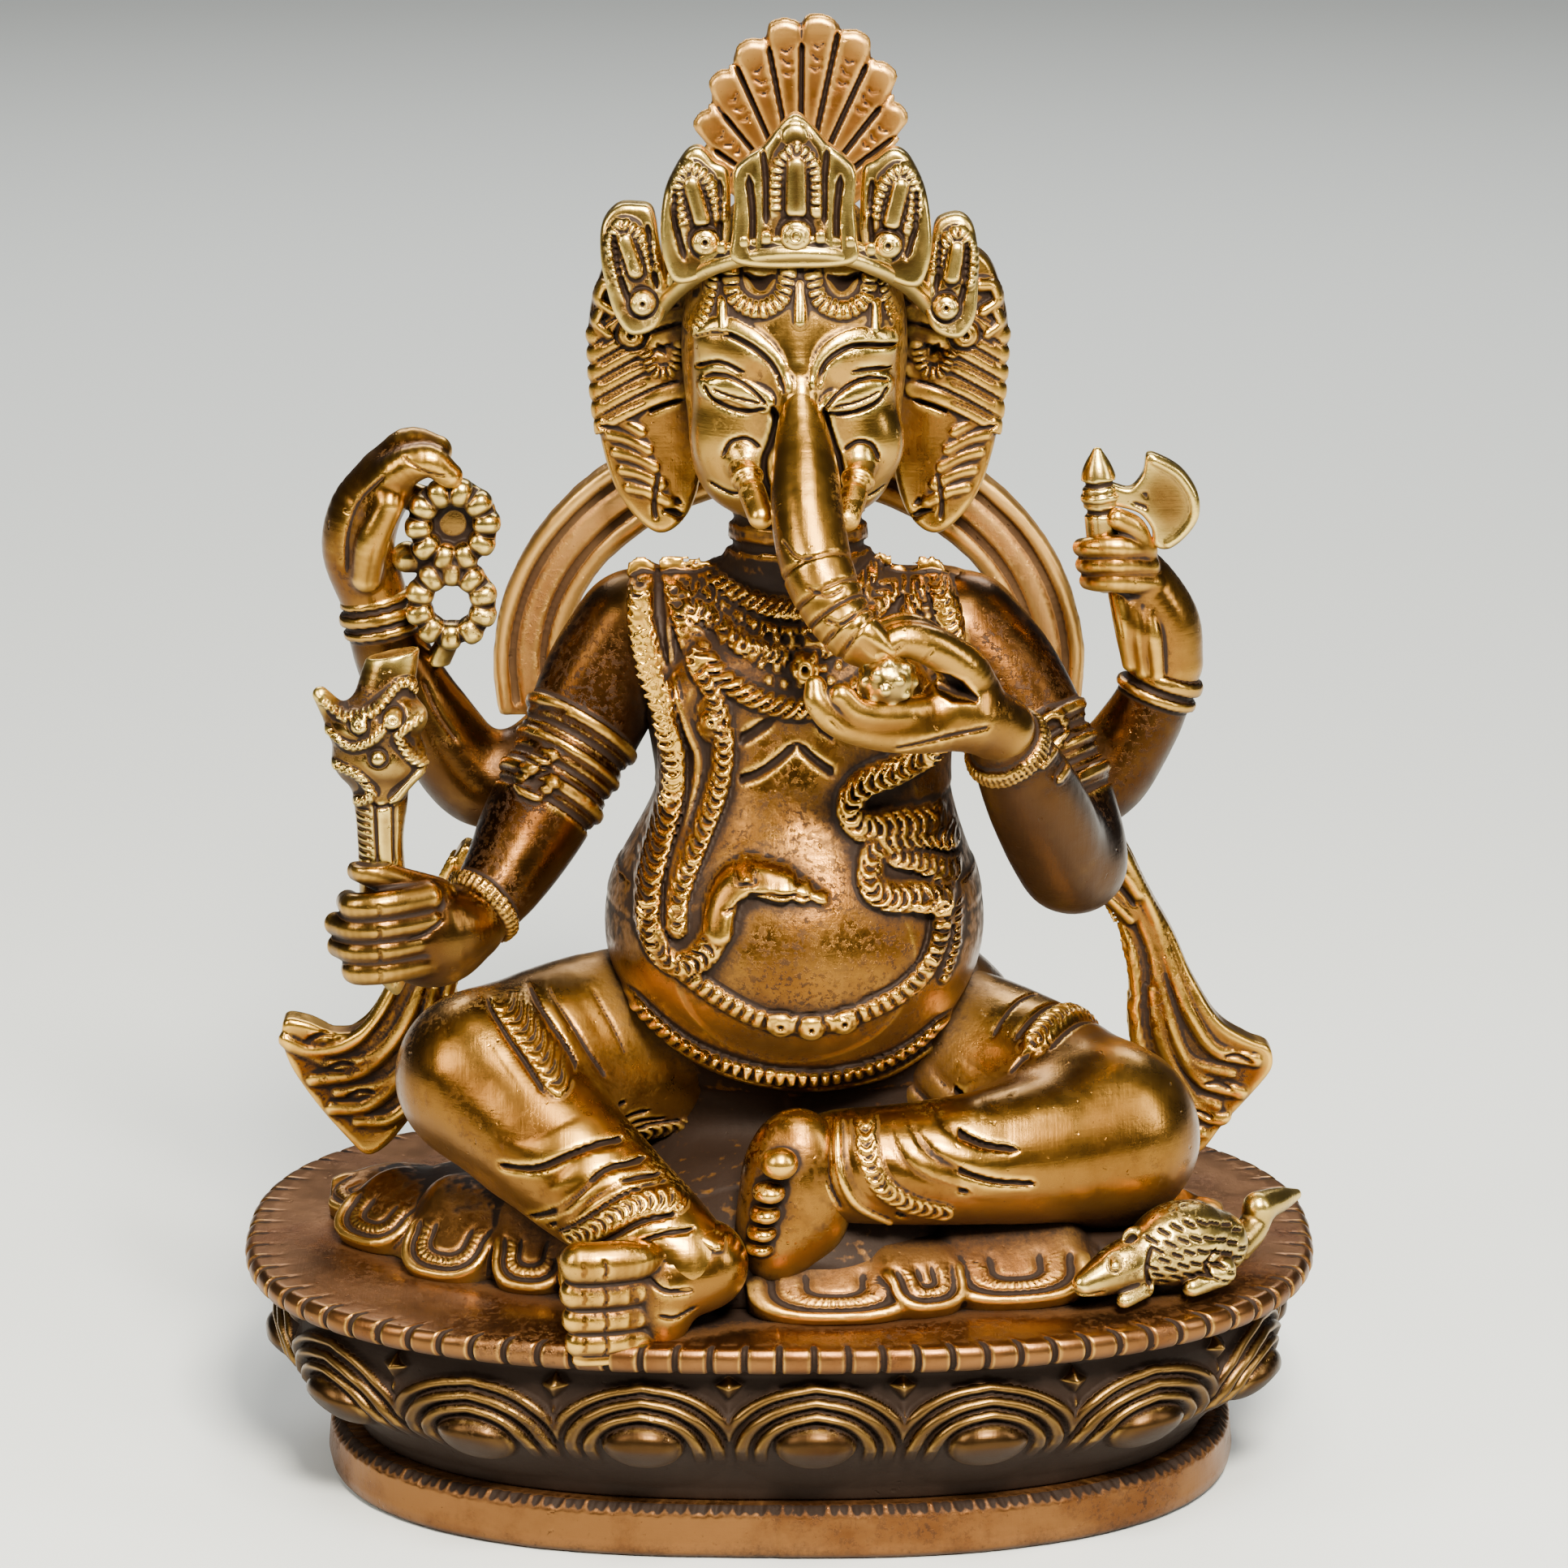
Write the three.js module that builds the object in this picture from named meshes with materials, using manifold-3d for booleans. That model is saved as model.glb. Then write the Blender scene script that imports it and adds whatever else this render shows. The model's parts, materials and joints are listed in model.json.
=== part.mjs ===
// Seated four-armed elephant-headed idol on an oval lotus base, cast in brass pieces.
// Millimetres, +Z up, the figure faces -Y. The figure's own right hand is at -X.
// The figure leans a little to +X, so its centre line stands at FIGURE_X.
import * as THREE from 'three';
import { mergeVertices } from 'three/addons/utils/BufferGeometryUtils.js';
import Module from 'manifold-3d';

const wasm = await Module();
wasm.setup();

// Driving dimensions
const BASE_HALF_X = 111; // deck rim, half its width
const BASE_HALF_Y = 73; // deck rim, half its depth
const OVAL_POWER = 2.5; // superellipse power of the base's outline
const FOOT_TOP = 11; // top of the foot ring
const DECK_TOP = 49; // top of the lotus base
const RIM_HEIGHT = 5.5;
const WALL = 4; // wall of the hollow base castings
const CLOTH_THICK = 3; // seat cloth on the deck
const FIGURE_X = 4; // the figure's centre line
const GAP = 0.3; // solder gap between two castings
const PETAL_COUNT = 16;
const TUBE_SIDES = 8;
const PEG_RADIUS = 3;
const PEG_X = 18; // pegs, each side of the centre line
const PEG_Y = 14;

const BRASS = 0xb07a2c;
const OLD_BRASS = 0x8c5c22;
const BRIGHT_BRASS = 0xd0a04a;

// ---------- solids ----------

function toSolid(geometry) {
  const bare = geometry.clone();
  bare.deleteAttribute('normal');
  bare.deleteAttribute('uv');
  const merged = mergeVertices(bare, 1e-4);
  const corners = merged.index.array;
  const kept = [];
  for (let i = 0; i < corners.length; i += 3) {
    const [a, b, c] = corners.slice(i, i + 3);
    if (a !== b && b !== c && c !== a) kept.push(a, b, c);
  }
  return new wasm.Manifold(new wasm.Mesh({
    numProp: 3,
    vertProperties: Float32Array.from(merged.attributes.position.array),
    triVerts: Uint32Array.from(kept),
  }));
}

// A form is a geometry in its own frame with the matrix that places it.
// Grown by some millimetres, it cuts a neighbour and leaves a gap.
function form(geometry, place = new THREE.Matrix4()) {
  geometry.computeBoundingBox();
  const middle = geometry.boundingBox.getCenter(new THREE.Vector3());
  const size = geometry.boundingBox.getSize(new THREE.Vector3());
  return (grow = 0) => {
    const grown = geometry.clone();
    grown.translate(-middle.x, -middle.y, -middle.z);
    grown.scale(...size.toArray().map((s) => (s + 2 * grow) / s));
    grown.translate(middle.x, middle.y, middle.z);
    return toSolid(grown.applyMatrix4(place));
  };
}

function unite(forms, grow = 0) {
  return forms.map((f) => f(grow)).reduce((a, b) => a.add(b));
}

function largest(solid) {
  return solid.decompose().sort((a, b) => b.volume() - a.volume())[0];
}

// ---------- primitive forms ----------

// An upright tapered capsule of two balls, by LatheGeometry, laid from a to b.
function bone(a, b) {
  const from = new THREE.Vector3(...a.slice(0, 3));
  const to = new THREE.Vector3(...b.slice(0, 3));
  const [ra, rb] = [a[3], b[3]];
  const along = to.clone().sub(from);
  const length = along.length();
  const lean = Math.asin((ra - rb) / length);
  const arcSteps = 2;
  const outline = [];
  for (let i = 0; i <= arcSteps; i++) {
    const t = -Math.PI / 2 + (i / arcSteps) * (Math.PI / 2 + lean);
    outline.push(new THREE.Vector2(i ? ra * Math.cos(t) : 0, ra * Math.sin(t)));
  }
  for (let i = 0; i <= arcSteps; i++) {
    const t = lean + (i / arcSteps) * (Math.PI / 2 - lean);
    outline.push(new THREE.Vector2(i < arcSteps ? rb * Math.cos(t) : 0, length + rb * Math.sin(t)));
  }
  const turn = new THREE.Quaternion().setFromUnitVectors(new THREE.Vector3(0, 1, 0), along.normalize());
  const place = new THREE.Matrix4().compose(from, turn, new THREE.Vector3(1, 1, 1));
  return form(new THREE.LatheGeometry(outline, TUBE_SIDES), place);
}

// Bones through [x, y, z, radius] knots.
function chain(...knots) {
  return knots.slice(1).map((knot, i) => bone(knots[i], knot));
}

function blob([x, y, z], [rx, ry, rz]) {
  const ball = new THREE.SphereGeometry(1, 12, 7);
  ball.rotateX(Math.PI / 2);
  ball.scale(rx, ry, rz);
  return form(ball, new THREE.Matrix4().makeTranslation(x, y, z));
}

function block([x0, y0, z0], [x1, y1, z1]) {
  const box = new THREE.BoxGeometry(x1 - x0, y1 - y0, z1 - z0);
  return form(box, new THREE.Matrix4().makeTranslation((x0 + x1) / 2, (y0 + y1) / 2, (z0 + z1) / 2));
}

// A flat casting: a shape drawn in X and Z, as thick as given, its middle at depth y.
function plate(shape, thickness, y, curveSegments = 6) {
  const slab = new THREE.ExtrudeGeometry(shape, { depth: thickness, bevelEnabled: false, curveSegments });
  slab.translate(0, 0, -thickness / 2);
  slab.rotateX(Math.PI / 2);
  return form(slab, new THREE.Matrix4().makeTranslation(0, y, 0));
}

function smoothShape(points) {
  const shape = new THREE.Shape();
  shape.moveTo(...points[0]);
  shape.splineThru([...points.slice(1), points[0]].map((p) => new THREE.Vector2(...p)));
  return shape;
}

function straightShape(points) {
  return new THREE.Shape(points.map((p) => new THREE.Vector2(...p)));
}

// ---------- oval base forms ----------

function ovalRadius(angle, halfX, halfY) {
  const c = Math.abs(Math.cos(angle) / halfX) ** OVAL_POWER;
  const s = Math.abs(Math.sin(angle) / halfY) ** OVAL_POWER;
  return (c + s) ** (-1 / OVAL_POWER);
}

// A turned profile of [share of the rim, z], pressed from round to the base's oval.
function ovalTurning(profile, inset = 0, segments = 32) {
  const turned = new THREE.LatheGeometry(profile.map(([r, z]) => new THREE.Vector2(r, z)), segments);
  turned.rotateX(Math.PI / 2);
  const at = turned.attributes.position;
  for (let i = 0; i < at.count; i++) {
    const share = Math.hypot(at.getX(i), at.getY(i));
    if (share < 1e-6) continue;
    const angle = Math.atan2(at.getY(i), at.getX(i));
    const radius = ovalRadius(angle, BASE_HALF_X * share - inset, BASE_HALF_Y * share - inset);
    at.setXY(i, radius * Math.cos(angle), radius * Math.sin(angle));
  }
  return form(turned);
}

function lotusPetals() {
  return Array.from({ length: PETAL_COUNT }, (_, i) => {
    const angle = ((i + 0.5) / PETAL_COUNT) * 2 * Math.PI;
    const boss = ovalRadius(angle, BASE_HALF_X * 0.9, BASE_HALF_Y * 0.88);
    const petal = new THREE.SphereGeometry(1, 6, 5);
    petal.scale(7, 15, 12);
    petal.rotateZ(angle);
    return form(petal, new THREE.Matrix4().makeTranslation(boss * Math.cos(angle), boss * Math.sin(angle), 27));
  });
}

// ---------- the figure's forms ----------

const X = FIGURE_X;

const torsoForms = [
  blob([X - 1, -6, 119], [38, 40, 30]), // belly
  blob([X, 3, 162], [32, 24, 27]), // chest
  ...chain([X, -1, 150, 25], [X, -5, 125, 29]),
  ...chain([X - 26, 5, 175, 12], [X + 27, 5, 175, 12]), // shoulders
  ...chain([X, 6, 180, 15], [X - 1, 3, 206, 12.5]), // neck
  blob([X, 12, 78], [48, 34, 35]), // hips
];
const torsoCore = [
  blob([X - 1, -5, 120], [32, 34, 24]),
  blob([X, 12, 76], [41, 27, 29]),
  ...chain([X, 4, 166, 18], [X, 2, 125, 22], [X, 8, 40, 22]),
  ...chain([X, 4, 166, 8], [X - 1, 3, 224, 7]),
];
const rightLegForms = chain([-16, 6, 84, 24], [-59, -22, 90, 17.5], [-38, -43, 76, 15], [-21, -57, 64, 11]);
const leftLegForms = chain([24, 6, 82, 24], [66, -22, 73, 18], [40, -40, 68, 16.5], [13, -45, 68, 14]);
const rightFootForms = [
  ...chain([-13, -58, 58, 9.5], [-30, -64, 58, 8]),
  ...chain([-36, -68, 66, 4.2], [-36, -69, 50, 3.6]),
];
const leftFootForms = [
  blob([2, -50, 72], [11, 9, 15]),
  ...chain([-3, -58, 83, 3.6], [-5, -58, 66, 3]),
];
const rightArmForms = chain([-31, 4, 174, 13], [-42, -2, 153, 11.5], [-52, -12, 135, 10], [-61, -24, 124, 7.2]);
const rightHandForms = chain([-64, -27, 123, 7.5], [-79, -33, 125, 9], [-86, -37, 124, 5]);
const tuskEmblemForms = chain(
  [-77, -32, 111, 2], [-80, -31, 126, 5], [-80, -31, 143, 5.5], [-79, -29, 163, 11], [-78, -26, 178, 5.5],
);
const leftArmForms = chain(
  [40, 4, 174, 12.5], [54, -3, 156, 11], [60, -10, 136, 10], [58, -15, 132, 10], [50, -28, 150, 9.3], [44, -42, 167, 7.5],
);
const leftHandForms = [
  ...chain([42, -46, 172, 7.5], [32, -52, 175, 6.5], [16, -58, 174, 4], [8, -59, 179, 3]),
  ...chain([36, -50, 180, 5], [25, -53, 187, 3.5]),
];
const rearRightArmForms = chain([-42, 15, 152, 10], [-60, 12, 143, 9.5], [-72, 12, 158, 8], [-82, 12, 176, 7]);
const rearRightHandForms = chain([-84, 12, 183, 7], [-83, 10, 194, 7.5], [-79, 8, 207, 6], [-71, 6, 211, 3.5]);
const rearLeftArmForms = chain([50, 15, 152, 10], [63, 11, 140, 9.5], [74, 12, 152, 8], [80, 12, 164, 7]);
const rearLeftHandForms = chain([79, 12, 171, 6.5], [74, 10, 182, 6], [68, 8, 191, 6.5]);
const headForms = [
  ...chain([X - 1, 3, 249, 21.5], [X - 1, 1, 224, 22.5]),
  blob([X - 1, -6, 212], [18, 17, 13]),
];
const headCore = chain([X - 1, 3, 245, 13], [X - 1, 3, 228, 13], [X - 1, 3, 205, 7]);
const trunkForms = chain(
  [X, -22, 238, 7], [X + 1, -38, 216, 7.8], [X + 2, -48, 203, 8.5], [X + 10, -54, 190, 6],
);
const mouseForms = chain([57, -55, 56, 2.5], [72, -47, 57, 5], [82, -40, 58, 6.8], [97, -27, 55, 2.8], [106, -13, 54, 2]);
const handleForms = chain([67, 8, 186, 3], [65, 6, 210, 3.2]);
const pegForms = [-1, 1].map((side) => {
  const turned = new THREE.LatheGeometry([
    [0, 40], [6, 40], [6, DECK_TOP - 5.3], [PEG_RADIUS, DECK_TOP - 5.3], [PEG_RADIUS, 56], [0, 56],
  ].map(([r, z]) => new THREE.Vector2(r, z)), 12);
  turned.rotateX(Math.PI / 2);
  return form(turned, new THREE.Matrix4().makeTranslation(X + side * PEG_X, PEG_Y, 0));
});

// ---------- flat castings ----------

const CROWN_LEAVES = [ // name, centre x, y, foot z, width, height, lean outwards, turn about Z
  ['crown_leaf_centre', X, -20, 259, 25, 25, 0, 0],
  ['crown_leaf_inner_right', X - 18.5, -13, 254, 15, 22, -0.06, -0.25],
  ['crown_leaf_inner_left', X + 19.5, -13, 254, 15, 22, 0.06, 0.25],
  ['crown_leaf_outer_right', X - 31.5, -3, 240, 14, 24, -0.18, -0.35],
  ['crown_leaf_outer_left', X + 32.5, -3, 240, 14, 24, 0.18, 0.35],
];
const LEAF_THICK = 5;

function crownLeaf([, x, y, z, width, height, lean, turn]) {
  const half = width / 2;
  const leaf = new THREE.Shape();
  leaf.moveTo(-half * 0.9, 0);
  leaf.lineTo(half * 0.9, 0);
  leaf.lineTo(half, height * 0.55);
  leaf.quadraticCurveTo(half * 0.7, height * 0.85, 0, height);
  leaf.quadraticCurveTo(-half * 0.7, height * 0.85, -half, height * 0.55);
  leaf.closePath();
  const slab = new THREE.ExtrudeGeometry(leaf, { depth: LEAF_THICK, bevelEnabled: false, curveSegments: 4 });
  slab.translate(0, 0, -LEAF_THICK / 2);
  slab.rotateX(Math.PI / 2);
  const place = new THREE.Matrix4().makeRotationFromEuler(new THREE.Euler(0, lean, turn, 'ZYX'));
  return form(slab, place.setPosition(x, y, z));
}

function mirrored(points, about = X) {
  return points.map(([x, z]) => [2 * about - x, z]).reverse();
}

const rightEarOutline = [[-19, 252], [-30, 254], [-36, 246], [-38, 232], [-35, 212], [-28, 199], [-22, 195], [-17, 202], [-15, 225]];
const crestOutline = [[-6, 262], [-17, 271], [-21, 278], [-15, 285], [-9, 292], [-2, 298], [5, 300], [12, 296], [20, 288], [25, 278], [19, 270], [12, 262]];
const leftTailOutline = [
  [66, 133], [74, 127], [81, 114], [86, 101], [93, 88], [102, 83], [102, 77], [92, 66], [86, 61], [79, 70], [72, 83], [73, 103], [69, 116], [62, 122],
];
const rightTailOutline = [
  [-66, 128], [-76, 110], [-82, 96], [-91, 87], [-102, 89], [-103, 82], [-99, 75], [-92, 64], [-86, 60], [-78, 66], [-69, 82], [-67, 100], [-60, 120],
];
const axeBladeOutline = [[67.5, 206], [71, 205], [75, 211], [81, 209], [85, 202], [83, 196], [77, 193], [74, 197], [69, 202]];
const ARCH = { z: 163, outerX: 61.5, outerZ: 54, innerX: 46, innerZ: 37, thick: 6, y: 25 };

function archShape() {
  const shape = new THREE.Shape();
  shape.absellipse(X - 2, ARCH.z, ARCH.outerX, ARCH.outerZ, -0.12, Math.PI + 0.12, false);
  shape.absellipse(X - 2, ARCH.z, ARCH.innerX, ARCH.innerZ, Math.PI + 0.12, -0.12, true);
  return shape;
}

// The seat cloth in plan: a wavy hem round the figure.
const clothPlan = [
  [-62, 34], [-84, 8], [-90, -16], [-88, -33], [-76, -40], [-70, -46], [-56, -50], [-48, -56], [-20, -56],
  [-4, -64], [8, -68], [22, -65], [33, -57], [46, -60], [58, -54], [76, -40], [88, -10], [84, 10], [66, 34], [4, 44],
];

function clothSlab(thick) {
  const slab = new THREE.ExtrudeGeometry(smoothShape(clothPlan), { depth: thick, bevelEnabled: false, curveSegments: 3 });
  return form(slab, new THREE.Matrix4().makeTranslation(0, 0, DECK_TOP + GAP));
}

function ringLoop([x, y, z], ringRadius, wireRadius) {
  const loop = new THREE.TorusGeometry(ringRadius, wireRadius, 6, 12);
  loop.rotateX(Math.PI / 2);
  return form(loop, new THREE.Matrix4().makeTranslation(x, y, z));
}

// ---------- casting each piece ----------

const idol = new THREE.Group();

function addPiece(name, solid, colour, metalness = 1, roughness = 0.35) {
  const made = largest(solid).getMesh();
  const geometry = new THREE.BufferGeometry();
  geometry.setAttribute('position', new THREE.BufferAttribute(new Float32Array(made.vertProperties), 3));
  geometry.setIndex(new THREE.BufferAttribute(new Uint32Array(made.triVerts), 1));
  geometry.computeVertexNormals();
  const mesh = new THREE.Mesh(geometry, new THREE.MeshStandardMaterial({ color: colour, metalness, roughness }));
  mesh.name = name;
  idol.add(mesh);
}

// A casting is its forms less its neighbours' forms, each grown by the solder gap.
function cast(name, forms, neighbours, colour = BRASS) {
  const cutter = unite(neighbours.flat(), GAP);
  addPiece(name, unite(forms).subtract(cutter), colour);
}

// Foot ring and lotus base
const footOutside = ovalTurning([[0, 0], [0.84, 0], [0.855, 3], [0.85, 9], [0.83, FOOT_TOP], [0, FOOT_TOP]]);
const footInside = ovalTurning([[0, -1], [0.84, -1], [0.84, FOOT_TOP + 1], [0, FOOT_TOP + 1]], WALL + 2);
addPiece('foot_ring', footOutside().subtract(footInside()), BRASS);

const drumOutside = ovalTurning([
  [0, FOOT_TOP + GAP], [0.8, FOOT_TOP + GAP], [0.82, 15], [0.92, 28], [0.94, 38], [0.92, 42],
  [0.985, DECK_TOP - RIM_HEIGHT], [1, DECK_TOP - RIM_HEIGHT + 1.5], [1, DECK_TOP - 1], [0.985, DECK_TOP], [0, DECK_TOP],
]);
const drumInside = ovalTurning([
  [0, 0], [0.8, 0], [0.8, 14], [0.9, 28], [0.9, DECK_TOP - 5], [0, DECK_TOP - 5],
], WALL);
const pegCutter = unite(pegForms, GAP);
addPiece('lotus_base', unite([drumOutside, ...lotusPetals()]).subtract(drumInside()).subtract(pegCutter), OLD_BRASS);

// What the figure stands on: the deck, and the cloth on it
const clothTop = DECK_TOP + GAP + CLOTH_THICK;
const deck = block([-130, -90, -10], [130, 90, DECK_TOP]);
const ground = [deck, clothSlab(CLOTH_THICK)];
addPiece('seat_cloth', clothSlab(CLOTH_THICK)().subtract(pegCutter), OLD_BRASS);
pegForms.forEach((peg, i) => addPiece(`seat_peg_${i ? 'left' : 'right'}`, peg(), BRASS));

// Body and limbs
const torsoSolid = unite(torsoForms).subtract(unite(torsoCore)).subtract(unite(ground, GAP)).subtract(pegCutter);
addPiece('torso', torsoSolid, BRASS);
cast('right_leg', rightLegForms, [torsoForms, ground, pegForms]);
cast('left_leg', leftLegForms, [torsoForms, ground, rightLegForms, pegForms]);
cast('right_foot', rightFootForms, [rightLegForms, ground, leftLegForms]);
cast('left_foot', leftFootForms, [leftLegForms, rightLegForms, rightFootForms, ground, torsoForms]);
cast('front_right_arm', rightArmForms, [torsoForms]);
cast('front_right_hand', rightHandForms, [rightArmForms, tuskEmblemForms]);
cast('tusk_emblem', tuskEmblemForms, [rightLegForms], BRIGHT_BRASS);
cast('front_left_arm', leftArmForms, [torsoForms]);
const sweetForms = [blob([21, -55, 182], [5.5, 5.5, 5.5])];
cast('front_left_hand', leftHandForms, [leftArmForms, sweetForms]);
cast('rear_right_arm', rearRightArmForms, [torsoForms, rightArmForms]);
cast('rear_right_hand', rearRightHandForms, [rearRightArmForms]);
cast('rear_left_arm', rearLeftArmForms, [torsoForms, leftArmForms]);
cast('rear_left_hand', rearLeftHandForms, [rearLeftArmForms, handleForms], BRASS);

// Head
addPiece('head', unite(headForms).subtract(unite(headCore)).subtract(unite(torsoForms, GAP)), BRASS);
cast('trunk', trunkForms, [headForms, torsoForms, leftHandForms, sweetForms]);
cast('sweet_ball', sweetForms, [torsoForms], OLD_BRASS);
const stumpForms = {
  right: chain([X - 12, -20, 217, 3.6], [X - 7.5, -35, 208, 2.6]),
  left: chain([X + 13, -20, 217, 3.6], [X + 10.5, -35, 208, 2.6]),
};
for (const [side, forms] of Object.entries(stumpForms)) {
  cast(`${side}_tusk_stump`, forms, [headForms, trunkForms], BRIGHT_BRASS);
}
const ears = {
  right: plate(smoothShape(rightEarOutline), 7, 11, 2),
  left: plate(smoothShape(mirrored(rightEarOutline, X - 0.5)), 7, 11, 2),
};
for (const [side, ear] of Object.entries(ears)) cast(`${side}_ear`, [ear], [headForms, torsoForms]);

// Crown, crest, arch and scarf tails
const bandForms = chain(
  [X - 24, 5, 243, 3], [X - 19, -11, 251, 3], [X - 7, -20, 256.5, 3],
  [X + 6, -20, 256.5, 3], [X + 18, -11, 251, 3], [X + 23, 5, 243, 3],
);
cast('crown_band', bandForms, [headForms, Object.values(ears)], BRIGHT_BRASS);
const leaves = CROWN_LEAVES.map(crownLeaf);
CROWN_LEAVES.forEach(([name], i) => {
  cast(name, [leaves[i]], [headForms, bandForms, Object.values(ears), leaves.slice(0, i)], BRIGHT_BRASS);
});
const crest = plate(smoothShape(crestOutline), 5, 14, 2);
cast('crest_fan', [crest], [headForms, leaves], OLD_BRASS);
const arch = plate(archShape(), ARCH.thick, ARCH.y, 26);
const armForms = [rightArmForms, leftArmForms, rearRightArmForms, rearLeftArmForms];
cast('scarf_arch', [arch], [headForms, torsoForms, ...armForms, Object.values(ears)], OLD_BRASS);
const legForms = [rightLegForms, leftLegForms];
cast('scarf_tail_left', [plate(straightShape(leftTailOutline), 6, 12)], [...armForms, ...legForms, ground]);
cast('scarf_tail_right', [plate(straightShape(rightTailOutline), 6, 12)], [...armForms, ...legForms, ground, rightHandForms]);

// What the rear hands hold, and the mouse
const rosaryForms = [
  ringLoop([-66, 5, 198], 6.6, 2.6),
  ringLoop([-67, 5, 181], 6.6, 2.6),
  ...chain([-68, 5, 190, 2.4], [-77, 8, 190, 2.4]),
];
cast('rosary', rosaryForms, [rearRightHandForms, rearRightArmForms], BRIGHT_BRASS);
cast('axe_handle', handleForms, [rearLeftArmForms], BRIGHT_BRASS);
cast('axe_blade', [plate(straightShape(axeBladeOutline), 3, 6)], [handleForms, rearLeftHandForms], BRIGHT_BRASS);
cast('mouse', mouseForms, [legForms, ground].flat(), BRIGHT_BRASS);

// The origin is the middle of the footprint, on the surface that the idol stands on.
const footprint = new THREE.Box3().setFromObject(idol);
idol.position.set(-(footprint.min.x + footprint.max.x) / 2, -(footprint.min.y + footprint.max.y) / 2, 0);

export default idol;
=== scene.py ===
"""Seated four-armed elephant-headed idol in antique brass: the visual model, its lights and camera.

Every casting is modelled as clay: distances to its surface on a grid, negative inside, in millimetres.
Forms are added and cut, ornament is pressed in from one side, and the skin of the clay is the piece.
"""

import json
import math

import bpy
import numpy as np
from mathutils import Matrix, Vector

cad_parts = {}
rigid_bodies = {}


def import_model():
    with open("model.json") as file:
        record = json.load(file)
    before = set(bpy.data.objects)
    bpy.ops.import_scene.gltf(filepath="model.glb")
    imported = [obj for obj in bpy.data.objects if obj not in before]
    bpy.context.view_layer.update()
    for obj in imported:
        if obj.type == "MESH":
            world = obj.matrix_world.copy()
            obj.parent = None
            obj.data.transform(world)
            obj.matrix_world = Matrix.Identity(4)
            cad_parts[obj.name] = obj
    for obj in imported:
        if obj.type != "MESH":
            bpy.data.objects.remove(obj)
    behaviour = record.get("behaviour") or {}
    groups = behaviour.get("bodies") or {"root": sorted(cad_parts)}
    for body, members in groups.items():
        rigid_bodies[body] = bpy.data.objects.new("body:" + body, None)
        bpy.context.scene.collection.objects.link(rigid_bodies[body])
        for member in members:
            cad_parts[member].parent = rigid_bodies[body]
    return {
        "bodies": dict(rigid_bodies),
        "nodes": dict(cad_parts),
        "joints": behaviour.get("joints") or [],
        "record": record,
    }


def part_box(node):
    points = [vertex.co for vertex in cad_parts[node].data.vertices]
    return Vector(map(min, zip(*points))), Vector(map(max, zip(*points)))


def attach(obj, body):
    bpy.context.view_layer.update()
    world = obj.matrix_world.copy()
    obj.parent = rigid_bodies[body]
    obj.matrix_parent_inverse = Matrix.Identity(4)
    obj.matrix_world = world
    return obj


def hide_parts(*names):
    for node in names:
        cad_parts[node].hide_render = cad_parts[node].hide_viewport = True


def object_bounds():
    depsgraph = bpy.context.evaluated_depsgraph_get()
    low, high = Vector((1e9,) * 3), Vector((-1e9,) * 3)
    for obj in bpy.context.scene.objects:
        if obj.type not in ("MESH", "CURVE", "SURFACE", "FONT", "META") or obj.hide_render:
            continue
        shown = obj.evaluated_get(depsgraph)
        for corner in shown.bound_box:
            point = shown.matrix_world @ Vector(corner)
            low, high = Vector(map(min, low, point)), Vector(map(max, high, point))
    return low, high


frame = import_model()
cad_box = [list(corner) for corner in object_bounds()]

MM = 0.001
GRAIN = 0.5  # mm, side of a grid cell of the figure's clay
FINE = 0.4  # mm, the same for the face, hands and crown
BODY_GRAIN = 0.58  # mm, the same for the large torso
FAR = 6.0  # mm, distances are kept up to this


def node_box(name):
    """Lowest and highest corner of a CAD node in millimetres."""
    low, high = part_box(name)
    return np.array(low) / MM, np.array(high) / MM


BASE_LOW, BASE_HIGH = node_box("lotus_base")
FOOT_HIGH = node_box("foot_ring")[1]
DECK = BASE_HIGH[2]
HALF_X = (BASE_HIGH[0] - BASE_LOW[0]) / 2
HALF_Y = (BASE_HIGH[1] - BASE_LOW[1]) / 2
OVAL_POWER = 2.5  # 2 is an ellipse, more is squarer


# ---------------------------------------------------------------- clay

def smooth_line(points, per_span=6, closed=False):
    """A Catmull-Rom line through the points, with any number of columns."""
    pts = np.array(points, float)
    if len(pts) < 3:
        steps = np.linspace(0, 1, per_span + 1)[:, None]
        return pts[0] + (pts[1] - pts[0]) * steps
    if closed:
        pts = np.vstack([pts[-1], pts, pts[0], pts[1]])
    else:
        pts = np.vstack([2 * pts[0] - pts[1], pts, 2 * pts[-1] - pts[-2]])
    t = (np.arange(per_span) / per_span)[:, None]
    out = []
    for a, b, c, d in zip(pts[:-3], pts[1:-2], pts[2:-1], pts[3:]):
        out.append(0.5 * (2 * b + (c - a) * t + (2 * a - 5 * b + 4 * c - d) * t**2
                          + (3 * b - a - 3 * c + d) * t**3))
    out.append(pts[-2][None])
    return np.vstack(out)


class Form:
    """A solid given by its distance function, with the box it stays inside."""

    def __init__(self, low, high, distance):
        self.low, self.high, self.distance = np.array(low, float), np.array(high, float), distance


def rotation(turn):
    """Rotation matrix for degrees about X, then Y, then Z."""
    matrix = np.eye(3)
    for axis, degrees in enumerate(turn):
        a = math.radians(degrees)
        i, j = [(1, 2), (2, 0), (0, 1)][axis]
        step = np.eye(3)
        step[i, i] = step[j, j] = math.cos(a)
        step[i, j], step[j, i] = -math.sin(a), math.sin(a)
        matrix = step @ matrix
    return matrix


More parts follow.
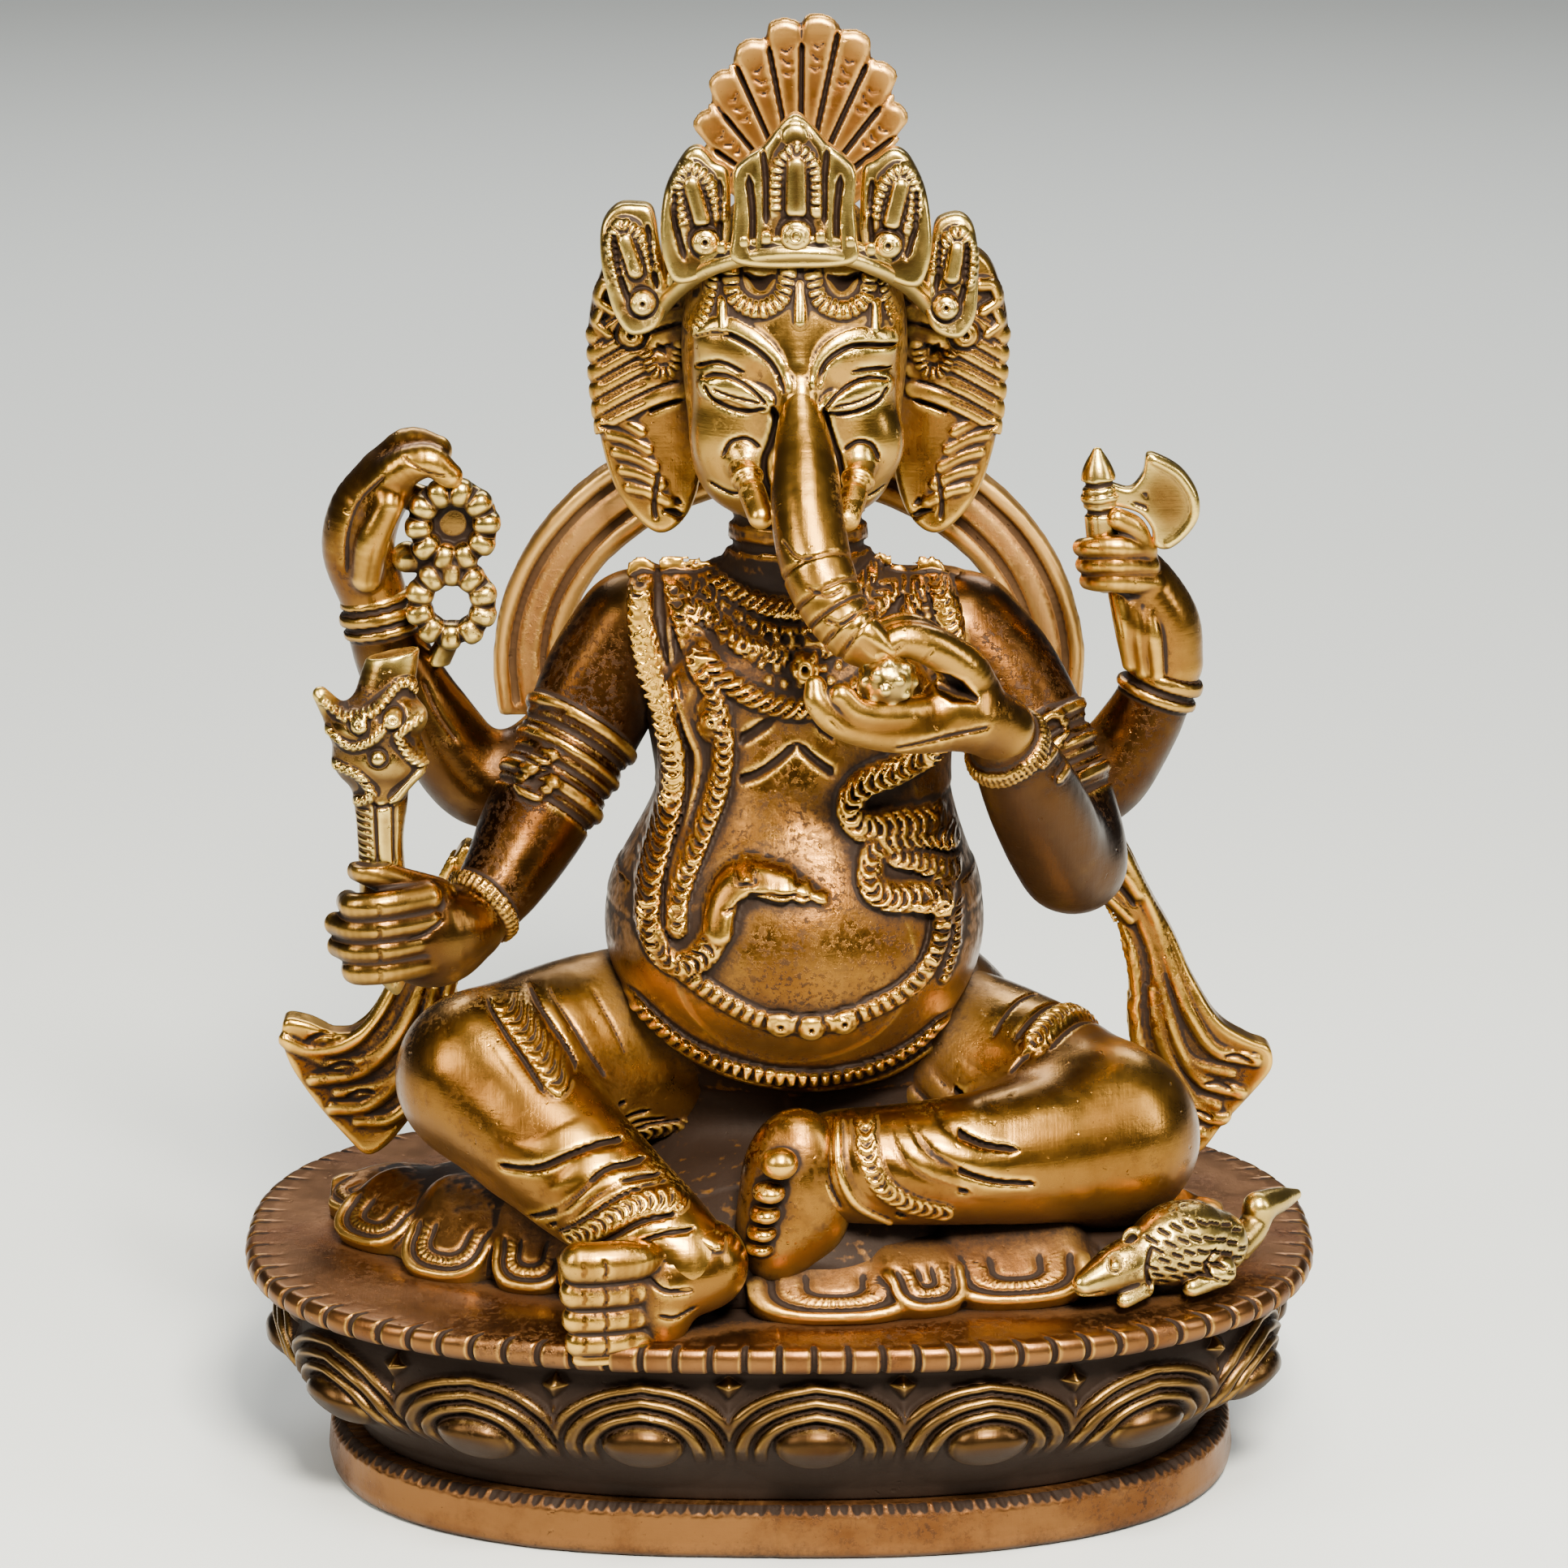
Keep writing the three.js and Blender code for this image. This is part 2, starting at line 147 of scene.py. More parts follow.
def blob(centre, radii, turn=(0, 0, 0), power=2.0):
    """An ellipsoid, or a boxier one where power is above 2."""
    c, r = np.array(centre, float), np.array(radii, float)
    back = rotation(turn).T
    reach = np.sqrt(((back.T * r) ** 2).sum(1)) if any(turn) else r
    reach = reach * (1 if power == 2.0 else 1.12)

    def distance(x, y, z):
        p = [x - c[0], y - c[1], z - c[2]]
        if any(turn):
            p = [back[i, 0] * p[0] + back[i, 1] * p[1] + back[i, 2] * p[2] for i in range(3)]
        if power == 2.0:
            k0 = np.sqrt((p[0] / r[0]) ** 2 + (p[1] / r[1]) ** 2 + (p[2] / r[2]) ** 2)
            k1 = np.sqrt((p[0] / r[0] ** 2) ** 2 + (p[1] / r[1] ** 2) ** 2 + (p[2] / r[2] ** 2) ** 2)
            return k0 * (k0 - 1) / np.maximum(k1, 1e-6)
        k0 = (np.abs(p[0] / r[0]) ** power + np.abs(p[1] / r[1]) ** power + np.abs(p[2] / r[2]) ** power)
        return (k0 ** (1 / power) - 1) * r.min()

    return Form(c - reach, c + reach, distance)


def bone(a, b, flat=None):
    """A tapered capsule between [x, y, z, radius] knots. flat is a unit direction and a squeeze above 1."""
    a, b = np.array(a, float), np.array(b, float)
    along = b[:3] - a[:3]
    if flat is not None:
        n, squeeze = np.array(flat[0], float), flat[1]
        n = n / np.linalg.norm(n)
        along = along + (squeeze - 1) * (along @ n) * n
    length2 = max(float(along @ along), 1e-9)

    def distance(x, y, z):
        px, py, pz = x - a[0], y - a[1], z - a[2]
        if flat is not None:
            off = (squeeze - 1) * (px * n[0] + py * n[1] + pz * n[2])
            px, py, pz = px + off * n[0], py + off * n[1], pz + off * n[2]
        h = np.clip((px * along[0] + py * along[1] + pz * along[2]) / length2, 0, 1)
        gap = np.sqrt((px - h * along[0]) ** 2 + (py - h * along[1]) ** 2 + (pz - h * along[2]) ** 2)
        return gap - (a[3] + h * (b[3] - a[3]))

    r = max(a[3], b[3])
    return Form(np.minimum(a[:3], b[:3]) - r, np.maximum(a[:3], b[:3]) + r, distance)


def limb(*knots, per_span=5, flat=None):
    """Bones along a smooth line through [x, y, z, radius] knots."""
    line = smooth_line(knots, per_span)
    line[:, 3] = np.maximum(line[:, 3], 0.15)
    return [bone(p, q, flat) for p, q in zip(line[:-1], line[1:])]


def straight(*knots, flat=None):
    return [bone(p, q, flat) for p, q in zip(knots[:-1], knots[1:])]


class Clay:
    """A block of clay."""

    def __init__(self, low, high, step):
        self.step = step
        self.low = np.floor(np.array(low, float) / step) * step
        self.shape = np.ceil((np.array(high) - self.low) / step).astype(int) + 1
        self.axes = [(self.low[i] + step * np.arange(self.shape[i])).astype(np.float32) for i in range(3)]
        self.d = np.full(self.shape, FAR, np.float32)

    def window(self, low, high):
        start = np.clip(np.floor((np.asarray(low) - self.low) / self.step).astype(int), 0, self.shape)
        stop = np.clip(np.ceil((np.asarray(high) - self.low) / self.step).astype(int) + 1, 0, self.shape)
        return start, stop

    def grids(self, start, stop):
        shape = [(-1, 1, 1), (1, -1, 1), (1, 1, -1)]
        return [self.axes[i][start[i]:stop[i]].reshape(shape[i]) for i in range(3)]

    def gather(self, forms, pad):
        """The union of the forms over the window that holds them."""
        low = np.min([f.low for f in forms], 0) - pad
        high = np.max([f.high for f in forms], 0) + pad
        start, stop = self.window(low, high)
        if (stop <= start).any():
            return None, None
        out = np.full(stop - start, FAR, np.float32)
        for f in forms:
            s, e = self.window(f.low - pad, f.high + pad)
            s, e = np.maximum(s, start), np.minimum(e, stop)
            if (e <= s).any():
                continue
            cut = tuple(slice(i, j) for i, j in zip(s - start, e - start))
            out[cut] = np.minimum(out[cut], f.distance(*self.grids(s, e)))
        return tuple(slice(i, j) for i, j in zip(start, stop)), out

    def add(self, *forms, blend=0.6):
        cut, new = self.gather(flat_list(forms), max(1.6 * blend, 2.5))
        if cut is None:
            return self
        old = self.d[cut]
        ease = np.maximum(blend - np.abs(old - new), 0) ** 2 / (4 * blend)
        self.d[cut] = np.minimum(old, new) - ease
        return self

    def cut(self, *forms, blend=0.3):
        cut, new = self.gather(flat_list(forms), max(1.6 * blend, 2.5))
        if cut is None:
            return self
        old = self.d[cut]
        ease = np.maximum(blend - np.abs(old + new), 0) ** 2 / (4 * blend)
        self.d[cut] = np.maximum(old, -new) + ease
        return self

    def soften(self, mm):
        """Smooths the clay, as a thumb would."""
        self.d = blurred(np.clip(self.d, -8, 8), mm / self.step)
        return self

    def keep_above(self, z):
        self.d = np.maximum(self.d, (z - self.axes[2])[None, None, :])
        return self

    def sample(self, points, field=None):
        field = self.d if field is None else field
        q = np.clip((points - self.low) / self.step, 0, np.array(field.shape) - 1.001)
        i = q.astype(int)
        f = q - i
        total = 0
        for dx in (0, 1):
            for dy in (0, 1):
                for dz in (0, 1):
                    w = ((f[:, 0] if dx else 1 - f[:, 0]) * (f[:, 1] if dy else 1 - f[:, 1])
                         * (f[:, 2] if dz else 1 - f[:, 2]))
                    total = total + w * field[i[:, 0] + dx, i[:, 1] + dy, i[:, 2] + dz]
        return total

    def slope(self, points):
        e = self.step * 0.7
        out = np.zeros_like(points)
        for axis in range(3):
            shift = np.zeros(3)
            shift[axis] = e
            out[:, axis] = (self.sample(points + shift) - self.sample(points - shift)) / (2 * e)
        return out


def flat_list(items):
    out = []
    for item in items:
        if isinstance(item, (list, tuple)):
            out.extend(flat_list(item))
        else:
            out.append(item)
    return out


# ---------------------------------------------------------------- ornament pressed in from one side

SIDES = {  # name: the two axes across, the depth axis, the way out
    "front": (0, 2, 1, -1), "back": (0, 2, 1, 1), "top": (0, 1, 2, 1),
    "left": (1, 2, 0, -1), "right": (1, 2, 0, 1),
}


def notch(phase, width=0.17):
    """1 in a narrow cut at each whole number."""
    off = np.abs(phase - np.round(phase))
    return np.clip(1 - off / width, 0, 1)


class Relief:
    """Heights over one side of a block of clay."""

    def __init__(self, clay, side="front"):
        self.clay, self.side = clay, side
        u, v = SIDES[side][:2]
        self.u, self.v = clay.axes[u], clay.axes[v]
        self.h = np.zeros((len(self.u), len(self.v)), np.float32)

    def near(self, points, reach):
        pts = np.array(points, float)
        low, high = pts.min(0) - reach, pts.max(0) + reach
        i0, i1 = np.searchsorted(self.u, [low[0], high[0]])
        j0, j1 = np.searchsorted(self.v, [low[1], high[1]])
        return slice(i0, max(i1, i0 + 1)), slice(j0, max(j1, j0 + 1))

    def track(self, points, reach, smooth=True, closed=False):
        """Distance to a line, distance along it, and which side, near the line."""
        line = smooth_line(points, 6, closed) if smooth else np.array(points, float)
        cut = self.near(line, reach)
        u, v = self.u[cut[0]][:, None], self.v[cut[1]][None, :]
        best = np.full((u.shape[0], v.shape[1]), 99.0, np.float32)
        along, side = np.zeros_like(best), np.zeros_like(best)
        run = 0.0
        for a, b in zip(line[:-1], line[1:]):
            t = b - a
            length = math.hypot(*t)
            if length < 1e-6:
                continue
            du, dv = u - a[0], v - a[1]
            h = np.clip((du * t[0] + dv * t[1]) / length**2, 0, 1)
            gap = np.hypot(du - h * t[0], dv - h * t[1])
            closer = gap < best
            best = np.where(closer, gap, best)
            along = np.where(closer, run + h * length, along)
            side = np.where(closer, np.sign(du * t[1] - dv * t[0]) * gap, side)
            run += length
        return cut, best, along, side, run

    def ridge(self, points, half, height, pattern=None, pitch=1.5, cut_depth=0.8, flat=0.0,
              smooth=True, closed=False, taper=0.0):
        """A raised cord. pattern: rope, cross, scale or vee cuts across it."""
        cut, gap, along, side, run = self.track(points, half + 0.5, smooth, closed)
        across = np.clip(gap / half, 0, 1)
        body = np.sqrt(np.clip(1 - across ** (2 + 4 * flat), 0, 1)) * height
        if taper:
            body = body * np.clip(np.minimum(along, run - along) / taper, 0, 1)
        if pattern:
            lean = {"rope": side * 0.9, "cross": 0 * side, "scale": 1.1 * half * across**2,
                    "vee": np.abs(side) * 0.9}[pattern]
            body = body * (1 - cut_depth * notch((along + lean) / pitch, 0.30))
        self.h[cut] = np.maximum(self.h[cut], body)
        return self

    def groove(self, points, half, depth, smooth=True, taper=True, closed=False):
        cut, gap, along, _, run = self.track(points, half + 0.5, smooth, closed)
        fade = np.clip(np.minimum(along, run - along) / (2.5 * half) + 0.35, 0, 1) if taper else 1
        self.h[cut] -= depth * fade * np.clip(1 - (gap / (half * np.maximum(fade, 0.3))) ** 1.5, 0, 1)
        return self

    def fold(self, points, half, depth):
        """A thin cut in cloth with a soft rise on either side of it."""
        line = smooth_line(points, 3)
        way = np.gradient(line, axis=0)
        way /= np.maximum(np.linalg.norm(way, axis=1), 1e-6)[:, None]
        across = np.stack([-way[:, 1], way[:, 0]], 1)
        rise = np.zeros_like(self.h)
        for offset, share in ((2.6, 0.28), (-2.4, 0.16)):
            beside = Relief(self.clay, self.side)
            beside.ridge([tuple(q) for q in line[1:-1] + across[1:-1] * half * offset], half * 2.1,
                    depth * share, smooth=False, taper=7.0)
            rise = np.maximum(rise, beside.h)
        self.h += rise
        return self.groove(points, half * 0.7, depth)

    def dome(self, centre, radius, height, dot=0.0, ring=0.0, squash=1.0):
        """A round boss, with a drilled dot and a ring round it where given."""
        cut = self.near([centre], radius * max(1, squash) + 2)
        u, v = self.u[cut[0]][:, None] - centre[0], self.v[cut[1]][None, :] - centre[1]
        gap = np.hypot(u, v / squash)
        body = height * np.sqrt(np.clip(1 - (gap / radius) ** 3, 0, 1))
        here = np.where(gap < radius, np.maximum(self.h[cut], body), self.h[cut])
        edge = np.clip(1 - np.abs(gap - radius - 0.35) / 0.45, 0, 1)
        here = here - 0.45 * edge * min(height, 1.2)
        if dot:
            here = here - np.clip(1 - gap / dot, 0, 1) * height * 0.8
        if ring:
            here = here - np.clip(1 - np.abs(gap - ring) / 0.4, 0, 1) * 0.5
        self.h[cut] = here
        return self

    def press(self, share=1.0):
        """Moves the clay's surface on this side by the heights."""
        u_axis, v_axis, depth, out = SIDES[self.side]
        rows, cols = np.nonzero(self.h)
        if not len(rows):
            return self.clay
        ru, rv = slice(rows.min(), rows.max() + 1), slice(cols.min(), cols.max() + 1)
        cut = [slice(None)] * 3
        cut[u_axis], cut[v_axis] = ru, rv
        cut = tuple(cut)
        d = self.clay.d[cut]
        facing = np.gradient(d, self.clay.step, axis=depth) * out
        weight = np.clip((facing - 0.1) / 0.25, 0, 1)
        self.clay.d[cut] = d - np.expand_dims(self.h[ru, rv] * share, depth) * weight
        return self.clay


def ring_band(clay, centre, axis, radius, half, height, pitch=0.0, cut_depth=0.7, flat=0.6):
    """A band round a limb: everything near the plane within radius rises."""
    c, n = np.array(centre, float), np.array(axis, float)
    n /= np.linalg.norm(n)
    start, stop = clay.window(c - radius - 3, c + radius + 3)
    cut = tuple(slice(i, j) for i, j in zip(start, stop))
    x, y, z = clay.grids(start, stop)
    px, py, pz = x - c[0], y - c[1], z - c[2]
    off = px * n[0] + py * n[1] + pz * n[2]
    out2 = np.maximum(px**2 + py**2 + pz**2 - off**2, 0)
    body = height * np.sqrt(np.clip(1 - np.abs(off / half) ** (2 + 4 * flat), 0, 1))
    body = body * (out2 < (radius + 2) ** 2)
    if pitch:
        u = np.cross(n, [0.31, 0.9, 0.3])
        u /= np.linalg.norm(u)
        w = np.cross(n, u)
        angle = np.arctan2(px * w[0] + py * w[1] + pz * w[2], px * u[0] + py * u[1] + pz * u[2])
        count = max(6, round(2 * math.pi * radius / pitch))
        body = body * (1 - cut_depth * notch(angle * count / (2 * math.pi), 0.2))
    clay.d[cut] -= body.astype(np.float32)


def slab(outline, depth_low, depth_high, side="front", edge=0.8, bend=None, smooth=True):
    """A plate with a drawn outline. bend(u, v) moves it along its depth."""
    u_axis, v_axis, depth, _ = SIDES[side]
    line = smooth_line(outline, 6, closed=True)[:-1] if smooth else np.array(outline, float)
    low, high = np.zeros(3), np.zeros(3)
    low[u_axis], low[v_axis] = line.min(0)
    high[u_axis], high[v_axis] = line.max(0)
    extra = 0.0
    if bend is not None:
        moved = np.array([bend(p[0], p[1]) for p in line])
        extra = (moved.min(), moved.max())
    low[depth] = depth_low + (extra[0] if bend is not None else 0) - 1
    high[depth] = depth_high + (extra[1] if bend is not None else 0) + 1
    if bend is not None:
        low[depth] -= 4
        high[depth] += 4
    half, middle = (depth_high - depth_low) / 2 - edge, (depth_high + depth_low) / 2

    def distance(x, y, z):
        p = (x, y, z)
        u, v, w = p[u_axis], p[v_axis], p[depth]
        flat_shape = [1, 1, 1]
        flat_shape[u_axis], flat_shape[v_axis] = u.size, v.size
        uu, vv = u.reshape(-1, 1), v.reshape(1, -1)
        gap = np.full((u.size, v.size), 99.0, np.float32)
        inside = np.zeros(gap.shape, bool)
        for a, b in zip(line, np.roll(line, -1, 0)):
            t = b - a
            h = np.clip(((uu - a[0]) * t[0] + (vv - a[1]) * t[1]) / max(t @ t, 1e-9), 0, 1)
            gap = np.minimum(gap, np.hypot(uu - a[0] - h * t[0], vv - a[1] - h * t[1]))
            crosses = ((a[1] > vv) != (b[1] > vv))
            with np.errstate(divide="ignore", invalid="ignore"):
                at = a[0] + (vv - a[1]) * t[0] / (t[1] if abs(t[1]) > 1e-9 else 1e-9)
            inside ^= crosses & (uu < at)
        flat = np.where(inside, -gap, gap) + edge
        shift = np.zeros(gap.shape) + (bend(uu, vv) if bend is not None else 0)
        order = flat.T if u_axis > v_axis else flat
        moved = shift.T if u_axis > v_axis else shift
        flat3 = order.reshape(flat_shape)
        thick = np.abs(w - middle - moved.reshape(flat_shape)) - half
        outer = np.sqrt(np.maximum(flat3, 0) ** 2 + np.maximum(thick, 0) ** 2)
        return np.minimum(np.maximum(flat3, thick), 0) + outer - edge

    return Form(low, high, distance)


# ---------------------------------------------------------------- noise, skin and mesh

def lattice_noise(points, size, seed):
    """Smooth noise from -1 to 1 on a lattice of the given size in millimetres."""
    q = points / size + 1000.0
    i = np.floor(q).astype(np.int64)
    f = q - i
    f = f * f * (3 - 2 * f)
    total = 0
    for dx in (0, 1):
        for dy in (0, 1):
            for dz in (0, 1):
                n = (i[:, 0] + dx) * 73856093 ^ (i[:, 1] + dy) * 19349663 ^ (i[:,
                        2] + dz) * 83492791 ^ seed * 7919
                n = (n ^ (n >> 13)) * 1274126177
                value = ((n ^ (n >> 16)) & 0xFFFF) / 32767.5 - 1
                w = ((f[:, 0] if dx else 1 - f[:, 0]) * (f[:, 1] if dy else 1 - f[:, 1])
                     * (f[:, 2] if dz else 1 - f[:, 2]))
                total = total + w * value
    return total


def blurred(field, sigma):
    """Gaussian blur of a 3-D field, sigma in cells."""
    reach = max(1, int(math.ceil(2.2 * sigma)))
    weights = np.exp(-0.5 * (np.arange(-reach, reach + 1) / sigma) ** 2)
    weights /= weights.sum()
    for axis in range(3):
        pad = [(0, 0)] * 3
        pad[axis] = (reach, reach)
        wide = np.pad(field, pad, mode="edge")
        out = np.zeros_like(field)
        n = field.shape[axis]
        for k, w in enumerate(weights):
            cut = [slice(None)] * 3
            cut[axis] = slice(k, k + n)
            out += np.float32(w) * wide[tuple(cut)]
        field = out
    return field


CRUMB = 25.0  # mm2, a loose body with less surface than this is a crumb and is brushed off


def brush_off(verts, quads, step):
    """Leaves out the crumbs that pressed ornament can leave beside the clay."""
    group = np.arange(len(verts))
    while True:
        lowest = group[quads].min(1)
        merged = group.copy()
        for corner in range(4):
            np.minimum.at(merged, group[quads[:, corner]], lowest)
            np.minimum.at(merged, quads[:, corner], lowest)
        merged = merged[merged]
        merged = merged[merged]
        if (merged == group).all():
            break
        group = merged
    keep = np.bincount(group, minlength=len(verts))[group] * step**2 > CRUMB
    renumbered = np.cumsum(keep) - 1
    return verts[keep], renumbered[quads[keep[quads[:, 0]]]]


def skin(clay):
    """Vertices and quads on the clay's surface, with how hollow each place is at two scales."""
    d = clay.d
    for axis in range(3):
        edge = [slice(None)] * 3
        for end in (0, -1):
            edge[axis] = end
            d[tuple(edge)] = np.maximum(d[tuple(edge)], 0.3)
    inside = d < 0
    n = [s - 1 for s in d.shape]
    count = np.zeros(n, np.uint8)
    corners = [(i, j, k) for i in (0, 1) for j in (0, 1) for k in (0, 1)]
    for i, j, k in corners:
        count += inside[i:i + n[0], j:j + n[1], k:k + n[2]]
    cells = np.argwhere((count > 0) & (count < 8))
    index = np.full(n, -1, np.int32)
    index[tuple(cells.T)] = np.arange(len(cells))
    value = np.stack([d[cells[:, 0] + i, cells[:, 1] + j, cells[:, 2] + k] for i, j, k in corners], 1)
    place = np.zeros((len(cells), 3))
    hits = np.zeros(len(cells))
    for p, a in enumerate(corners):
        for q, b in enumerate(corners):
            if q <= p or sum(abs(s - t) for s, t in zip(a, b)) != 1:
                continue
            crossing = (value[:, p] < 0) != (value[:, q] < 0)
            with np.errstate(divide="ignore", invalid="ignore"):
                t = np.where(crossing, value[:, p] / (value[:, p] - value[:, q]), 0)
            for axis in range(3):
                place[:, axis] += crossing * (a[axis] + t * (b[axis] - a[axis]))
            hits += crossing
    verts = (cells + place / hits[:, None]) * clay.step + clay.low
    quads = []
    for axis in range(3):
        b, c = [(1, 2), (2, 0), (0, 1)][axis]
        lo = [slice(None)] * 3
        hi = [slice(None)] * 3
        lo[axis], hi[axis] = slice(0, -1), slice(1, None)
        first = inside[tuple(lo)]
        change = np.argwhere(first != inside[tuple(hi)])
        limit = np.array(n)
        ok = (change[:, b] >= 1) & (change[:, c] >= 1) & (change[:, b] < limit[b]) & (change[:,
                c] < limit[c])
        change = change[ok]
        ring = []
        for sb, sc in ((0, 0), (1, 0), (1, 1), (0, 1)):
            at = change.copy()
            at[:, b] -= sb
            at[:, c] -= sc
            ring.append(index[tuple(at.T)])
        ring = np.stack(ring, 1)
        outward = first[tuple(change.T)]
        quads.append(np.where(outward[:, None], ring, ring[:, ::-1]))
    quads = np.vstack(quads)
    quads = quads[(quads >= 0).all(1)]
    verts, quads = brush_off(verts, quads, clay.step)
    for _ in range(2):
        g = clay.slope(verts)
        size = np.maximum((g**2).sum(1), 0.2)
        move = np.clip(clay.sample(verts) / size, -0.4 * clay.step, 0.4 * clay.step)
        verts = verts - move[:, None] * g
    solid = np.clip(0.5 - d / 1.6, 0, 1).astype(np.float32)
    fine = clay.sample(verts, blurred(solid, 0.9 / clay.step)) - 0.5
    half = Clay(clay.low, clay.low + (np.array(d.shape) - 1) * clay.step, clay.step * 2)
    coarse = np.ascontiguousarray(solid[::2, ::2, ::2])
    broad = half.sample(verts, blurred(coarse, 2.6 / half.step)) - 0.5
    return verts, quads, fine, broad


finished = []  # (object, vertices in mm, normals) of every sculpted piece


def make_object(name, verts, faces, values, material, slot_name, replaced):
    """A mesh piece from arrays, with its per-vertex values as attributes."""
    mesh = bpy.data.meshes.new(name)
    mesh.vertices.add(len(verts))
    mesh.vertices.foreach_set("co", (verts * MM).astype(np.float32).ravel())
    sides = faces.shape[1]
    mesh.loops.add(faces.size)
    mesh.loops.foreach_set("vertex_index", faces.astype(np.int32).ravel())
    mesh.polygons.add(len(faces))
    mesh.polygons.foreach_set("loop_start", np.arange(0, faces.size, sides, dtype=np.int32))
    mesh.polygons.foreach_set("use_smooth", np.ones(len(faces), bool))
    mesh.update(calc_edges=True)
    mesh.validate()
    for key, value in values.items():
        attribute = mesh.attributes.new(key, "FLOAT", "POINT")
        attribute.data.foreach_set("value", value.astype(np.float32))
    mesh.materials.append(material)
    piece = bpy.data.objects.new(name, mesh)
    bpy.context.scene.collection.objects.link(piece)
    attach(piece, "root")
    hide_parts(*replaced)
    return piece


def soft_step(value, low, high):
    t = np.clip((value - low) / (high - low), 0, 1)
    return t * t * (3 - 2 * t)


def cast(name, clay, material, slot_name, replaced, rough=0.10, seed=1, painted_shade=None):
    """Skins the clay, roughens it as a sand-cast surface, and makes the piece."""
    verts, quads, fine, broad = skin(clay)
    normal = clay.slope(verts)
    normal /= np.maximum(np.linalg.norm(normal, axis=1), 1e-6)[:, None]
    # painted shade placed by position on the piece: added to the fine hollowness in patches, so the brass
    # darkens there
    if painted_shade is not None:
        patchy = 0.85 + 0.3 * lattice_noise(verts, 2.0, seed + 5) + 0.3 * lattice_noise(verts, 0.8,
                seed + 6)
        fine = fine + painted_shade(verts) * np.clip(patchy, 0, 1.4)
    bumps = lattice_noise(verts, 8.0, seed) * 0.75 + lattice_noise(verts, 2.1, seed + 1) * 0.22
    verts = verts + normal * (rough * bumps)[:, None]
    finished.append((name, verts, quads, {"fine": fine, "broad": broad}, material, slot_name, replaced))


def open_shade():
    """How closed in each vertex is by all the pieces together, from one coarse block."""
    step = 2.0
    low = np.array([-122.0, -84.0, -6.0])
    shape = np.array([122, 84, 158])
    room = np.zeros(shape, np.float32)
    for clay_like in solids_for_shade:
        clay_like(room, low, step)
    soft = blurred(room, 3.2)
    for name, verts, faces, values, *rest in finished:
        q = np.clip((verts - low) / step, 0, shape - 1.001)
        i = q.astype(int)
        f = q - i
        total = 0
        for dx in (0, 1):
            for dy in (0, 1):
                for dz in (0, 1):
                    w = ((f[:, 0] if dx else 1 - f[:, 0]) * (f[:, 1] if dy else 1 - f[:, 1])
                         * (f[:, 2] if dz else 1 - f[:, 2]))
                    total = total + w * soft[i[:, 0] + dx, i[:, 1] + dy, i[:, 2] + dz]
        # the brass turns near black where this is high: painted shade, partly patina
        values["shut"] = total - 0.5
        make_object(name, verts, faces, values, *rest)


solids_for_shade = []


def remember(clay):
    """Keeps the clay's solid for the shade block."""
    pick = max(1, round(1.0 / clay.step))
    inside = clay.d[::pick, ::pick, ::pick] < 0
    axes = [a[::pick] for a in clay.axes]

    def fill(room, low, step):
        where = np.argwhere(inside)
        at = np.stack([axes[k][where[:, k]] for k in range(3)], 1)
        cell = np.clip(np.round((at - low) / step).astype(int), 0, np.array(room.shape) - 1)
        room[tuple(cell.T)] = 1.0

    solids_for_shade.append(fill)


# ---------------------------------------------------------------- antique brass

PATINA_AND_SHADE_COLOUR = (0.016, 0.0085, 0.0050)  # near-black patina in the cuts, and the colour of painted shade under things and between pieces
SPOT = (0.05, 0.022, 0.008)  # small dark spots on open faces
STAIN = (0.62, 0.54, 0.50)  # share of the colour left where the brass is stained

